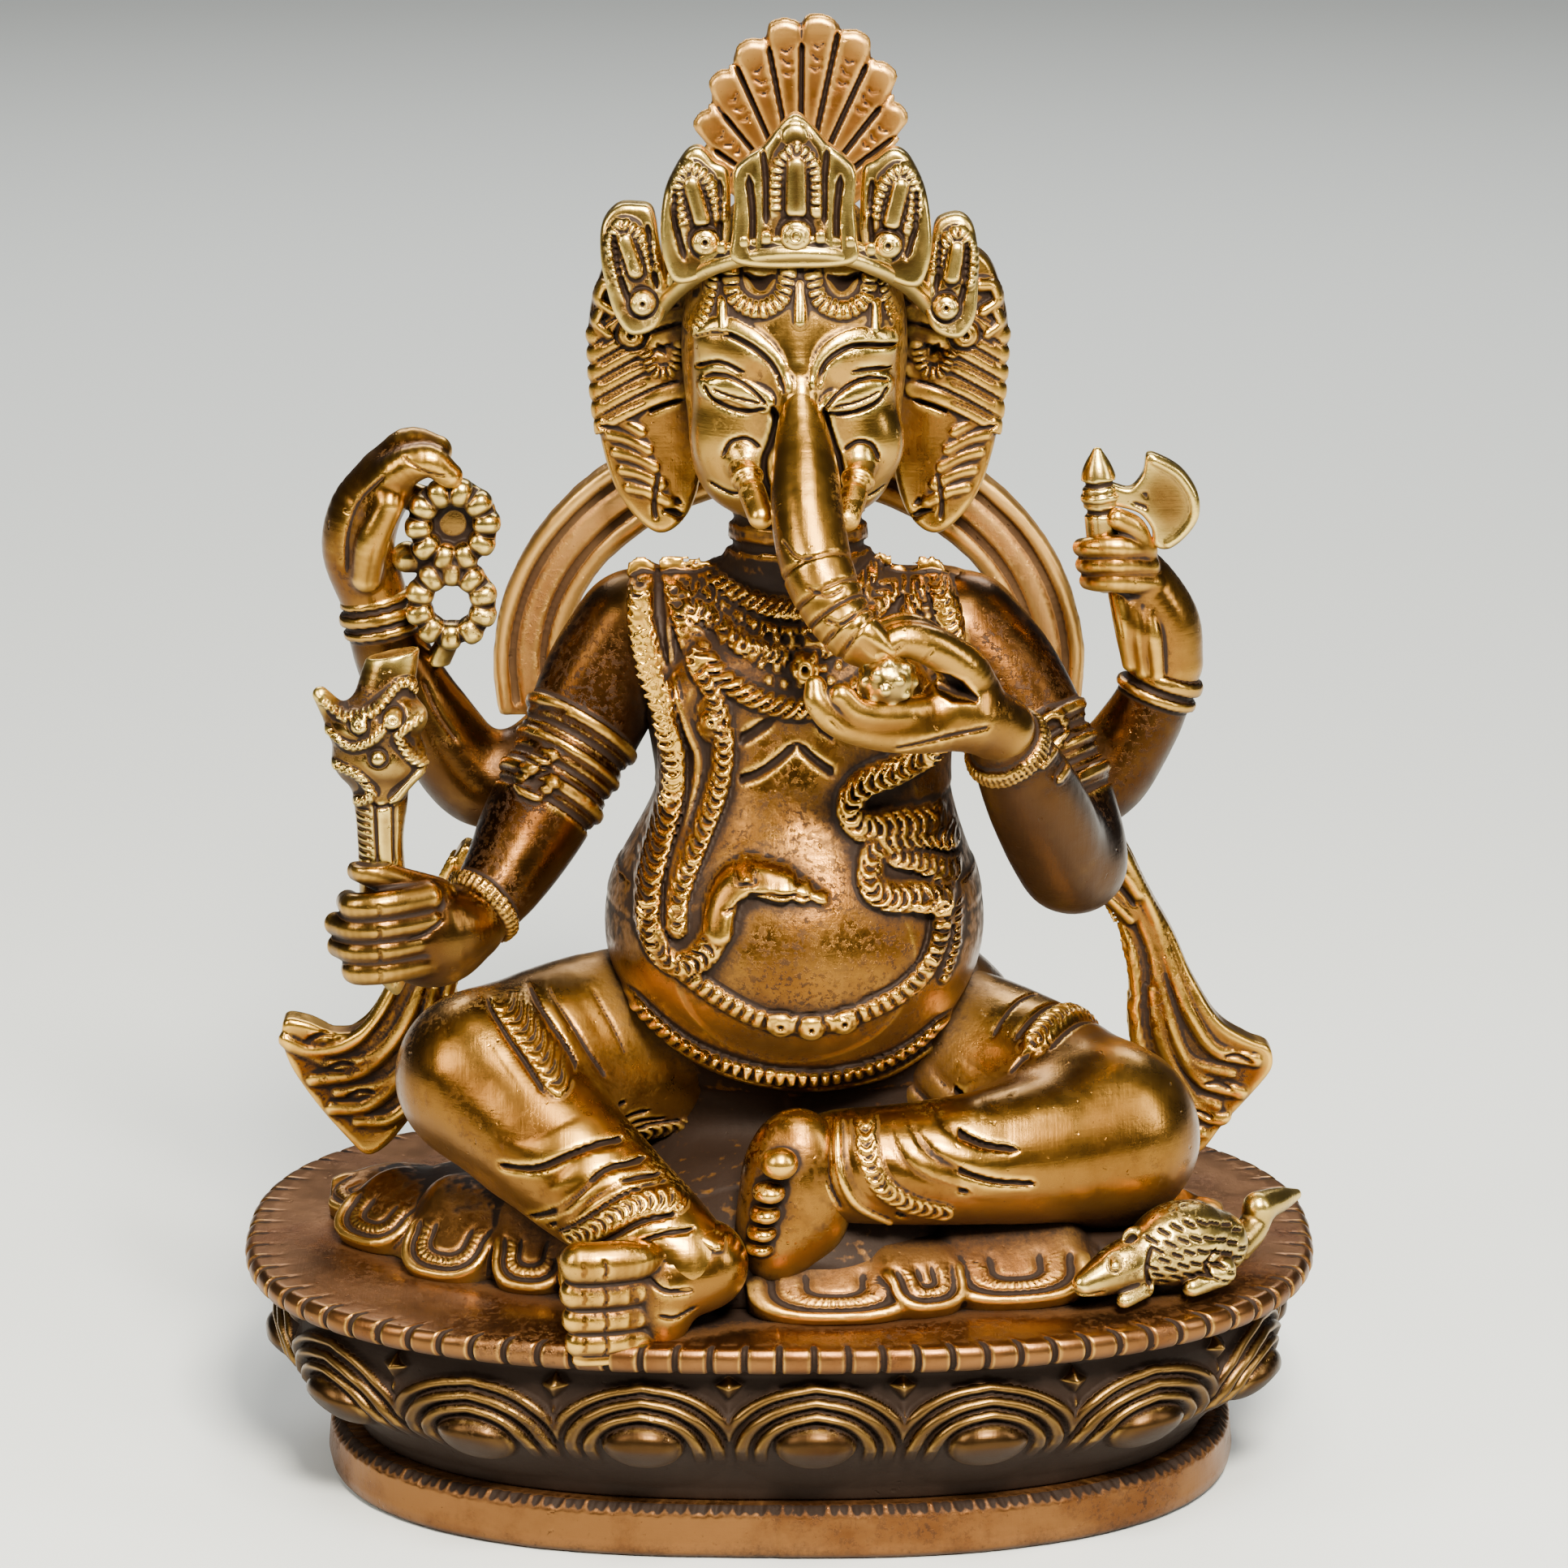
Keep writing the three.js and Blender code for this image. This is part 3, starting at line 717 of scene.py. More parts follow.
def brass(name, colour=(0.215, 0.096, 0.017), bright=(0.88, 0.50, 0.08), patina_and_shade_gain=1.1, shine=0.24):
    """Cast brass: golden where it is rubbed, browner on open faces, near black with patina in the cuts and
    with painted shade under things and in closed-in corners.
    """
    material = bpy.data.materials.new(name)
    material.use_nodes = True
    tree = material.node_tree
    nodes, links = tree.nodes, tree.links
    nodes.clear()
    out = nodes.new("ShaderNodeOutputMaterial")
    shader = nodes.new("ShaderNodeBsdfPrincipled")
    links.new(shader.outputs["BSDF"], out.inputs["Surface"])
    shader.inputs["Specular IOR Level"].default_value = 0.15

    def attribute(key):
        node = nodes.new("ShaderNodeAttribute")
        node.attribute_name = key
        return node.outputs["Fac"]

    def maths(kind, a, b=0.0, c=None, clamp=False):
        node = nodes.new("ShaderNodeMath")
        node.operation = kind
        node.use_clamp = clamp
        for socket, value in zip(node.inputs, (a, b, c)):
            if value is None:
                continue
            if isinstance(value, (int, float)):
                socket.default_value = value
            else:
                links.new(value, socket)
        return node.outputs[0]

    def spread(value, low, high, to_low=0.0, to_high=1.0):
        node = nodes.new("ShaderNodeMapRange")
        node.interpolation_type = "SMOOTHSTEP"
        links.new(value, node.inputs["Value"])
        for key, number in (("From Min", low), ("From Max", high), ("To Min", to_low), ("To Max", to_high)):
            node.inputs[key].default_value = number
        return node.outputs["Result"]

    place = nodes.new("ShaderNodeTexCoord").outputs["Object"]

    def noise(scale, detail=4.0, rough=0.6, stretch=None):
        node = nodes.new("ShaderNodeTexNoise")
        node.inputs["Scale"].default_value = scale
        node.inputs["Detail"].default_value = detail
        node.inputs["Roughness"].default_value = rough
        source = place
        if stretch:
            mapping = nodes.new("ShaderNodeMapping")
            mapping.inputs["Scale"].default_value = stretch[:3]
            mapping.inputs["Rotation"].default_value = stretch[3]
            links.new(place, mapping.inputs["Vector"])
            source = mapping.outputs["Vector"]
        links.new(source, node.inputs["Vector"])
        return node.outputs["Fac"]

    def blend(factor, a, b):
        node = nodes.new("ShaderNodeMix")
        node.data_type = "RGBA"
        if isinstance(factor, (int, float)):
            node.inputs["Factor"].default_value = factor
        else:
            links.new(factor, node.inputs["Factor"])
        for socket, value in ((node.inputs[6], a), (node.inputs[7], b)):
            if isinstance(value, tuple):
                socket.default_value = (*value, 1)
            else:
                links.new(value, socket)
        return node.outputs[2]

    fine, broad, shut = attribute("fine"), attribute("broad"), attribute("shut")
    cloud = noise(38, 5, 0.62)
    mottle = noise(160, 4, 0.65)
    speck = noise(900, 3, 0.7)

    # cavities: patina in the finest cuts, with the painted shade each piece places there, then the valleys
    # between forms, then painted shade, partly patina, in whole closed-in corners
    mixed = maths("ADD", maths("MULTIPLY", mottle, 0.45), maths("MULTIPLY", speck, 0.55))
    cuts = spread(maths("ADD", fine, maths("MULTIPLY", maths("SUBTRACT", mixed, 0.5), 0.05)), 0.012, 0.08)
    valleys = spread(maths("ADD", broad, maths("MULTIPLY", maths("SUBTRACT", mixed, 0.5), 0.22)), 0.03,
            0.19)
    corners = spread(maths("ADD", shut, maths("MULTIPLY", maths("SUBTRACT", mixed, 0.5), 0.35)), 0.03, 0.34)
    patina_and_shade = maths("MAXIMUM", cuts, maths("MULTIPLY", valleys, 0.9))
    patina_and_shade = maths("MAXIMUM", patina_and_shade, maths("MULTIPLY", corners, 0.85))
    # painted shade: faces that look downwards darken, the edge broken up by noise
    way = nodes.new("ShaderNodeSeparateXYZ")
    links.new(nodes.new("ShaderNodeNewGeometry").outputs["Normal"], way.inputs[0])
    under = spread(maths("ADD", way.outputs["Z"], maths("MULTIPLY", maths("SUBTRACT", cloud, 0.5), 0.5)),
            0.05, -0.75)
    patina_and_shade = maths("MAXIMUM", patina_and_shade, maths("MULTIPLY", under, 0.55))
    # grains of old patina: thick near the hollows, in loose patches elsewhere
    near_hollow = spread(maths("ADD", broad, maths("MULTIPLY", maths("SUBTRACT", cloud, 0.5), 0.4)), -0.03,
            0.12)
    patch = spread(noise(24, 4, 0.65), 0.56, 0.70, 0.0, 0.6)
    grains = maths("MULTIPLY", maths("MAXIMUM", near_hollow, patch), spread(noise(700, 4, 0.75), 0.51,
            0.58))
    patina_and_shade = maths("MAXIMUM", patina_and_shade, maths("MULTIPLY", grains, 0.78))
    # patina and painted shade together, scaled for each material
    patina_and_shade = maths("MULTIPLY", patina_and_shade, patina_and_shade_gain, clamp=True)
    # rubbed high places
    proud = spread(maths("ADD", fine, maths("MULTIPLY", maths("SUBTRACT", mottle, 0.5), 0.05)), -0.015,
            -0.11)
    proud = maths("MAXIMUM", proud, spread(broad, -0.02, -0.24, 0.0, 0.55))
    stain = spread(cloud, 0.42, 0.66)
    dark_spots = spread(speck, 0.66, 0.74)

    body = blend(stain, colour, tuple(c * k for c, k in zip(colour, STAIN)))
    body = blend(maths("MULTIPLY", proud, 0.85), body, bright)
    body = blend(maths("MULTIPLY", dark_spots, 0.7), body, SPOT)
    # near black where the patina and the painted shade lie
    tint = blend(patina_and_shade, body, PATINA_AND_SHADE_COLOUR)
    links.new(tint, shader.inputs["Base Color"])
    links.new(maths("SUBTRACT", 1.0, maths("MULTIPLY", patina_and_shade, 0.75)), shader.inputs["Metallic"])
    gloss = maths("ADD", shine, maths("MULTIPLY", maths("SUBTRACT", mottle, 0.5), 0.22))
    gloss = maths("ADD", gloss, maths("MULTIPLY", stain, 0.08))
    gloss = maths("ADD", gloss, maths("MULTIPLY", patina_and_shade, 0.35), clamp=True)
    links.new(gloss, shader.inputs["Roughness"])

    # pits of the casting, fine grain, and file marks in two directions
    pits = spread(noise(420, 2, 0.5), 0.30, 0.22)
    grain = noise(1500, 3, 0.7)
    marks = noise(60, 2, 0.5, (30.0, 1.2, 1.2, (0.3, 0.5, 0.9)))
    marks2 = noise(60, 2, 0.5, (1.2, 1.5, 34.0, (0.5, 0.2, -0.6)))
    height = maths("MULTIPLY", pits, -0.6)
    height = maths("ADD", height, maths("MULTIPLY", grain, 0.12))
    height = maths("ADD", height, maths("MULTIPLY", marks, 0.13))
    height = maths("ADD", height, maths("MULTIPLY", marks2, 0.10))
    height = maths("ADD", height, maths("MULTIPLY", mottle,
            maths("ADD", 0.15, maths("MULTIPLY", patina_and_shade, 0.9))))
    bump = nodes.new("ShaderNodeBump")
    bump.inputs["Strength"].default_value = 0.6
    bump.inputs["Distance"].default_value = 0.0003
    links.new(height, bump.inputs["Height"])
    links.new(bump.outputs["Normal"], shader.inputs["Normal"])
    return material


FIGURE = brass("figure_brass")
FACE = brass("face_brass", (0.42, 0.222, 0.040), (0.99, 0.70, 0.16), 1.1, 0.21)
ORNAMENT = brass("ornament_brass", (0.185, 0.096, 0.022), (0.99, 0.70, 0.18), 1.5, 0.23)
CLOTH = brass("cloth_brass", (0.235, 0.104, 0.025), (0.66, 0.36, 0.068), 1.15, 0.31)
CREST = brass("crest_brass", (0.36, 0.160, 0.036), (0.80, 0.44, 0.11), 1.1, 0.32)
# a lighter copy of the brass: painted light on the scarf arch's front-facing plane
ARCH_LIT = brass("arch_brass_lit", (0.50, 0.25, 0.075), (0.88, 0.52, 0.14), 0.9, 0.40)
BASE = brass("base_brass", (0.200, 0.088, 0.028), (0.52, 0.285, 0.062), 1.35, 0.32)
PETAL = brass("petal_brass", (0.054, 0.027, 0.010), (0.27, 0.15, 0.038), 1.5, 0.31)
# a darker copy of the figure's brass: painted shade on the arms and the front right hand
ARM_SHADED = brass("arm_brass_shaded", (0.068, 0.029, 0.007), (0.56, 0.31, 0.058), 1.2, 0.25)


# ---------------------------------------------------------------- oval base

def oval_radius(angle, share, inset=0.0):
    c = np.abs(np.cos(angle) / (HALF_X * share - inset)) ** OVAL_POWER
    s = np.abs(np.sin(angle) / (HALF_Y * share - inset)) ** OVAL_POWER
    return (c + s) ** (-1 / OVAL_POWER)


def rim_angles(count):
    """Angles that step evenly along the rim, and the distance along it, from the front's middle."""
    a = np.linspace(-math.pi / 2, 1.5 * math.pi, 8001)
    r = oval_radius(a, 1.0)
    x, y = r * np.cos(a), r * np.sin(a)
    s = np.concatenate([[0], np.cumsum(np.hypot(np.diff(x), np.diff(y)))])
    even = np.linspace(0, s[-1], count + 1)[:-1]
    return np.interp(even, s, a), even, s[-1]


def turned(name, rows, count, relief, material, slot_name, replaced, rough=0.08, seed=3):
    """A closed oval body from [share, z, inset] rows, the relief pushed out level at each place."""
    angle, s, length = rim_angles(count)
    rows = np.array(rows, float)
    grid = np.zeros((len(rows), count, 3))
    push = relief(s[None, :], rows, length)
    for k, (share, z, inset) in enumerate(rows):
        r = oval_radius(angle, max(share, 0.02), inset) if share > 0.02 else np.full(count, 0.5)
        grid[k, :, 0], grid[k, :, 1], grid[k, :, 2] = r * np.cos(angle), r * np.sin(angle), z
    side = np.roll(grid, -1, 1) - np.roll(grid, 1, 1)
    out = np.stack([side[..., 1], -side[..., 0], np.zeros(side.shape[:2])], -1)
    out /= np.maximum(np.linalg.norm(out, axis=-1, keepdims=True), 1e-9)
    flat = grid.reshape(-1, 3)
    uneven = lattice_noise(flat, 7, seed) + 0.4 * lattice_noise(flat, 2.4, seed + 1)
    grid = grid + out * (push[0] + rough * uneven.reshape(push[0].shape))[..., None]
    grid[..., 2] += push[1]
    k, j = np.meshgrid(np.arange(len(rows)), np.arange(count), indexing="ij")
    here = k * count + j
    right = k * count + (j + 1) % count
    up = ((k + 1) % len(rows)) * count + j
    up_right = ((k + 1) % len(rows)) * count + (j + 1) % count
    faces = np.stack([here, right, up_right, up], -1).reshape(-1, 4)
    # hollowness from the relief: how far each place is below the mean of its surroundings
    def hollow(reach):
        height = push[0]
        soft = height.copy()
        for step in range(1, reach + 1):
            soft += np.roll(height, step, 1) + np.roll(height, -step, 1)
        soft /= 2 * reach + 1
        both = soft.copy()
        for step in range(1, reach + 1):
            both += np.roll(soft, step, 0) + np.roll(soft, -step, 0)
        return both / (2 * reach + 1) - height
    values = {"fine": np.clip(hollow(2) * 0.22, -0.2, 0.25).ravel() + push[2].ravel(),
              "broad": np.clip(hollow(7) * 0.10, -0.25, 0.3).ravel() + push[2].ravel()}
    finished.append((name, grid.reshape(-1, 3), faces, values, material, slot_name, replaced))


PETALS = 16
PETAL_Z = 26.0


def petal_relief(s, rows, length):
    """Lotus petals: a boss low down under three arches whose ends run down, and a bud between neighbours."""
    z = rows[:, 1][:, None]
    outer = rows[:, 2][:, None] < 0.5
    pitch = length / PETALS
    u = (s - 8.0 + pitch / 2) % pitch - pitch / 2
    lift = 0.9 * np.sin(s * 0.043 + 1.0)  # the hand-cut petals are not quite alike
    zz = z - lift
    rho = np.hypot(u / 9.2, (zz - PETAL_Z) / np.where(zz > PETAL_Z, 5.4, 5.6))
    boss = 5.4 * np.sqrt(np.clip(1 - rho**2.6, 0, 1))
    # each arch is an ogee: round above the boss, its foot spreading sideways
    arches = np.zeros_like(boss)
    above = np.clip((zz - 20.0) / 5, 0, 1)
    for at, half, height in ((1.42, 0.19, 2.9), (1.86, 0.19, 2.7), (2.28, 0.17, 2.2)):
        peak = 0.04 * np.clip(1 - np.abs(u) / 3.0, 0, 1)
        reach = np.hypot(u / (9.2 + 0.6 * (at - 1.4)), np.maximum(zz - 24.0, 0) / 6.6) - peak
        off = (reach - at * 0.93) / half
        arches = np.maximum(arches, height * np.sqrt(np.clip(1 - off**2, 0, 1)) * above)
    v = (s - 8.0) % pitch - pitch / 2  # across the gap between two petals
    bud = np.abs(v) / 3.6 + np.abs(zz - 38.6) / 3.2
    bud = 3.2 * np.clip(1 - bud, 0, 1) ** 0.7
    stem = 1.4 * np.clip(1 - np.abs(v) / 1.3, 0, 1)
    stem = stem * np.clip((36 - z) / 3, 0, 1) * np.clip((z - 29) / 4, 0, 1)
    bulge = 1.4 * np.clip(1 - (rho / 2.3) ** 2, 0, 1)
    highest = np.maximum(np.maximum(boss, arches), np.maximum(bud, stem))
    push = highest + bulge
    gap_between = np.clip(1 - highest / 1.2, 0, 1)
    fade = np.clip((z - 12) / 3, 0, 1) * np.clip((43.2 - z) / 1.5, 0, 1)
    # darkening: patina in the gaps between petals, darker towards the wall's foot, and painted shade just
    # under the rim's overhang
    dark = 0.015 + 0.20 * gap_between + 0.16 * np.clip((22 - z) / 4, 0, 1)
    dark = dark + 0.2 * np.clip((z - 41) / 1.5, 0, 1)
    return push * fade * outer, 0 * push, dark * outer + 0 * push


def wall_rows():
    """The wall's profile, outside from the foot up, then inside from the deck down."""
    step = 0.42
    z = np.arange(FOOT_HIGH[2] + 0.3, 43.6, step)
    share = np.interp(z, [11, 14, 18, 22, 27, 33, 38, 41, 43.6], [0.80, 0.81, 0.838, 0.872, 0.905, 0.92,
            0.915, 0.905, 0.93])
    rows = [[a, b, 0.0] for a, b in zip(share, z)]
    rows += [[0.90, 43.9, 1.0], [0.86, 43.9, 4.0]]
    rows += [[0.88, 34, 4.0], [0.86, 24, 4.0], [0.80, 14, 4.0], [0.80, FOOT_HIGH[2] + 0.3, 4.0]]
    return rows


NOTCHES = 88


def rim_relief(s, rows, length):
    """Notches cut across the rim, and a hammered deck."""
    z = rows[:, 1][:, None]
    share = rows[:, 0][:, None]
    phase = s / length * NOTCHES
    cut = notch(phase + 0.0 * z, 0.13) * np.clip((share - 0.955) / 0.02, 0, 1)
    pillow = 0.35 * np.abs(np.sin(math.pi * phase)) ** 0.5 * np.clip((share - 0.96) / 0.02, 0, 1)
    push = -1.5 * cut + pillow
    lift = 0.25 * np.sin(s * 0.11 + share * 19) * np.clip((0.95 - share) / 0.1, 0, 1) * np.clip(z - 47, 0,
            1)
    lift = lift - 0.5 * cut * np.clip((z - 47.5) / 1.5, 0, 1)
    dark = 0.2 * cut
    return push, lift, dark


def deck_rows():
    """Under the rim, round its edge, in over the deck, and back beneath."""
    rows = [[0.86, 44.0, 2.0], [0.93, 43.8, 0.0], [0.965, 43.6, 0.0]]
    turns = 13
    for k in range(turns):
        t = -math.pi / 2 + math.pi * k / (turns - 1)
        rows.append([1 - 0.022 + 0.022 * math.cos(t), 46.4 + 2.6 * math.sin(t), 0.0])
    inward = 34
    for k in range(1, inward):
        share = 0.978 - 0.978 * (k / inward) ** 1.1
        rows.append([max(share, 0.03),
                DECK + 0.55 * math.sin(min(1, (0.978 - share) / 0.25) * math.pi / 2), 0.0])
    rows += [[0.01, DECK + 0.5, 0.0], [0.01, 45.0, 0.0], [0.5, 44.8, 0.0]]
    return rows


def foot_relief(s, rows, length):
    """A plain ring with a torn solder seam along its top edge."""
    z = rows[:, 1][:, None]
    outer = rows[:, 2][:, None] < 0.5
    ragged = np.sin(s * 0.9) * np.sin(s * 0.37 + 1) + 0.6 * np.sin(s * 2.3)
    top = np.clip((z - 8.5) / 2.5, 0, 1)
    push = 0.35 * ragged * top + 0.25 * np.sin(s * 0.05) * outer
    dark = 0.12 * top * outer + 0 * s
    return push * outer, 0.35 * ragged * top * outer, dark


def foot_rows():
    top = FOOT_HIGH[2]
    step = 0.6
    z = np.arange(0, top, step)
    share = np.interp(z, [0, 0.8, 3, 9, top], [0.842, 0.852, 0.856, 0.851, 0.832])
    rows = [[a, b, 0.0] for a, b in zip(share, z)]
    rows += [[0.83, top, 0.6], [0.80, top, 5.0], [0.84, top - 1, 6.0], [0.84, 0.0, 6.0]]
    return rows


around = 1300
turned("lotus_petal_wall", wall_rows(), around, petal_relief, PETAL, "base_casting", ["lotus_base"])
turned("deck_plate", deck_rows(), around, rim_relief, BASE, "base_casting", ["lotus_base"], seed=9)
turned("foot_ring_casting", foot_rows(), around, foot_relief, BASE, "base_casting", ["foot_ring"], seed=15)


def base_solid(room, low, step):
    """The base in the shade block."""
    x = low[0] + step * np.arange(room.shape[0])[:, None, None]
    y = low[1] + step * np.arange(room.shape[1])[None, :, None]
    z = low[2] + step * np.arange(room.shape[2])[None, None, :]
    share = np.interp(z, [-9, -0.1, 0, 11, 12, 20, 27, 41, 43, 44, DECK, DECK + 0.1],
                      [0, 0, 0.85, 0.85, 0.80, 0.86, 0.93, 0.92, 0.90, 1.0, 1.0, 0])
    level = (np.abs(x / HALF_X) ** OVAL_POWER + np.abs(y / HALF_Y) ** OVAL_POWER) ** (1 / OVAL_POWER)
    room[level < share] = 1.0
    room[:, :, : int((0 - low[2]) / step)] = 1.0


solids_for_shade.append(base_solid)


# ---------------------------------------------------------------- body

def block_for(nodes, margin=3.0, step=None, extra=((0, 0, 0), (0, 0, 0))):
    """Clay over the boxes of some CAD nodes, with a margin."""
    boxes = [node_box(n) for n in nodes]
    low = np.min([b[0] for b in boxes], 0) - margin + np.array(extra[0])
    high = np.max([b[1] for b in boxes], 0) + margin + np.array(extra[1])
    return Clay(low, high, step or GRAIN)


def torso():
    clay = block_for(["torso"], 3.5, BODY_GRAIN, ((0, -3, 0), (0, 2, 0)))
    clay.add(blob((3, -7, 118), (38.5, 39, 33)))
    clay.add(blob((4, 3, 163), (31, 24, 26)), blend=8)
    clay.add(bone((5, 0, 158, 28), (5, -4, 128, 32)), blend=6)
    clay.add(bone((-25, 6, 174, 13), (33, 6, 174, 13)), blend=9)
    clay.add(blob((-8, -15, 166), (14, 8, 10)), blob((15, -15, 166), (14, 8, 10)), blend=6)
    clay.add(limb((4, 8, 178, 17), (4, 6, 188, 14), (3.5, 4, 206, 12.8)), blend=6)
    clay.add(blob((4, 12, 78), (50, 35, 37)), blend=9)
    clay.add(blob((3, -14, 50), (46, 40, 27)), blend=6)
    # back: shoulder blades and spine
    clay.add(blob((-14, 22, 166), (12, 6, 15)), blob((22, 22, 166), (12, 6, 15)), blend=8)
    clay.cut(limb((4, 32, 184, 1.5), (4, 30, 165, 2.2), (4, 31, 140, 2.4), (4, 38, 118, 2.0)), blend=6)
    # neck folds
    for z in (194, 199.5):
        ring_band(clay, (3.6, 5, z), (0, 0.12, 1), 16, 1.1, -0.7, 0, 0)
    clay.keep_above(DECK + 0.4)

    bare = clay.d.copy()
    face = Relief(clay, "front")
    # collars
    face.ridge([(-22, 192.5), (-13.5, 188.5), (-6, 186), (4, 185), (13, 186.5), (21.5, 191.5), (27, 195)],
               1.9, 1.8, "rope", 1.8)
    face.ridge([(-19, 184.5), (-12, 182), (-7.5, 179.5), (-2.5, 178), (3.5, 177.3), (9.5, 179), (14.5, 181),
                (19.5, 184.5), (24, 188)], 2.4, 1.8, "scale", 1.9, 0.6)
    face.ridge([(-20, 188), (-12, 185), (-5, 182.5), (3, 181.5), (12, 183.5), (20, 188)], 1.1, 1.2,
            "cross", 1.4)
    face.dome((5.2, 175.4), 3.2, 2.6, dot=0.9, ring=1.9)
    for row in range(4):
        for k in range(13 - row):
            x = -16 + 3.1 * k + 1.5 * (row % 2)
            face.dome((x, 180 + 0.016 * (x - 4) ** 2 - 2.6 * row + (3.4 if abs(x - 4) > 9 else 0)), 0.9,
                    0.9)
    # second garland, a thick rope
    face.ridge([(-20, 188), (-17, 179), (-12, 173.5), (-6, 170), (0.5, 168), (6.5, 168), (13, 170),
            (18, 173),
                (24.5, 179.5), (28, 187)], 2.2, 2.1, "rope", 2.3)
    # lines under the chest
    face.groove([(-9, 160), (-5, 162.6), (-1, 165.6)], 1.3, 1.7)
    face.groove([(7, 165), (12, 161.5), (18, 158)], 1.3, 1.7)
    face.groove([(-9.5, 152.5), (-4.5, 154.4), (-0.5, 157.2), (3.5, 160.8)], 1.0, 1.6)
    face.groove([(3.5, 160.8), (8, 156.8), (13, 154), (18.5, 152.5)], 1.0, 1.6)
    # the cord inside the serpent's loop
    face.ridge([(-23, 190), (-21.5, 172), (-18.5, 162), (-16.2, 155), (-18.5, 144.5), (-21.6, 135),
            (-22.6, 126)],
               0.8, 0.8)
    face.ridge([(-22.5, 190.5), (-18.5, 178.5), (-13.8, 171), (-11.5, 163), (-11.3, 157), (-12.5, 150.5),
                (-15.5, 143), (-18.2, 137), (-20.2, 131), (-20.6, 125.5)], 2.3, 2.0, "scale", 2.2, 0.5,
                flat=0.4)
    face.dome((-13.6, 164.6), 3.3, 1.5, ring=2.6, squash=1.5)
    face.dome((-13.6, 164.6), 2.2, 2.3, dot=0.7, ring=1.5)
    # serpent: down the side, round the bottom, up to the head
    face.ridge([(-28.2, 189.5), (-28.3, 184), (-27, 176.5), (-24.5, 168.5), (-22.8, 160.5), (-21.6, 154),
                (-22.2, 147), (-24.5, 139.5), (-26.2, 133), (-26.4, 126), (-24, 120.3), (-19.8, 118.2),
                (-15.4, 121), (-12.6, 126), (-11.2, 131)], 3.0, 2.5, "scale", 2.1, 0.5, flat=0.4)
    face.ridge([(-12.4, 126.5), (-11.6, 131), (-9.6, 134.6), (-6, 136.6), (-2.5, 136.4)], 3.3, 3.0,
            flat=0.4)
    face.ridge([(-6, 136.8), (-3, 136.4), (0.5, 135.6)], 3.4, 2.9, flat=0.4)
    face.ridge([(0, 135.7), (2.5, 135), (4.6, 134.3)], 2.2, 2.2, flat=0.2)
    face.ridge([(4, 134.5), (6.4, 133.7), (8.6, 132.8)], 1.2, 1.4)
    face.groove([(-11, 130.4), (-8.4, 131.6), (-7.6, 133)], 0.5, 0.9)
    face.groove([(-6.6, 133.6), (-2, 134.2), (3, 133.8), (6.4, 133.2)], 0.45, 1.1)
    face.groove([(-9.6, 138.6), (-5.5, 139.6), (-0.5, 139.2), (3, 137.6)], 0.5, 0.8)
    face.dome((-6.6, 137.2), 1.9, 3.9, ring=1.2, squash=0.75)
    # serpent's coils on the other side
    face.ridge([(33, 160), (30, 156.5), (23.5, 154.5), (16.6, 152.5), (14.2, 148.5), (16.8, 145),
            (23, 144.2),
                (31, 143)], 3.1, 2.6, "scale", 2.1, 0.5, flat=0.4)
    face.ridge([(36, 139), (30, 141.5), (22, 142), (18.6, 139.5), (18.6, 134.5), (22.5, 132), (28, 131),
                (33, 129.5)], 2.9, 2.5, "scale", 2.1, 0.5, flat=0.4)
    face.ridge([(23, 139), (28, 137), (35, 133)], 2.2, 2.0, "scale", 2.0, 0.5, flat=0.3)
    face.ridge([(36, 128), (35.8, 120), (33.5, 113)], 1.2, 1.2, "cross", 1.6)
    # chain under the belly with three bosses
    face.ridge([(32.6, 131), (32.8, 124.5), (30.5, 118), (25.5, 112.8), (18.5, 109.6), (12, 107.8),
            (6.5, 107),
                (-0.5, 107.6), (-5, 108.8), (-11, 111.8), (-18, 116), (-23, 119)], 2.2, 2.0, "cross", 2.4,
                0.55, flat=0.3)
    face.groove([(30, 129), (29.6, 123), (27.5, 118), (23, 114.5), (16, 112)], 0.5, 0.6)
    for centre in ((0.3, 107.2), (6.4, 106.4), (13, 107.4)):
        face.dome(centre, 2.9, 2.5, dot=0.8, ring=1.7)
    # belt at the hips and the cloth's edge below it
    face.ridge([(-30, 105.8), (-20, 98.8), (-10, 94.8), (0, 92.6), (9, 92), (18, 92.8), (27, 96),
            (33, 100)], 2.5, 2.3, "cross", 2.3, 0.55, flat=0.3)
    face.ridge([(-27, 98), (-18, 93), (-8, 89.2), (2, 87.6), (12, 87.4), (22, 89), (31, 93)],
               0.9, 0.9)
    face.groove([(-28, 95), (-17, 89.5)], 0.8, 0.9)
    face.ridge([(3, 92), (3.5, 86), (4, 80)], 2.4, 0.8)
    # bands over the shoulders on the viewer's right
    face.ridge([(30, 191), (33.5, 184.5), (35, 178), (34.5, 171), (34, 165)], 2.6, 2.0, "scale", 1.9, 0.5,
            flat=0.3)
    face.ridge([(27, 191), (29.5, 184), (30.5, 177), (30.5, 169)], 1.0, 1.0, "cross", 1.5)
    face.ridge([(24.5, 191), (26, 184), (26.5, 178)], 0.9, 0.9)
    face.press()

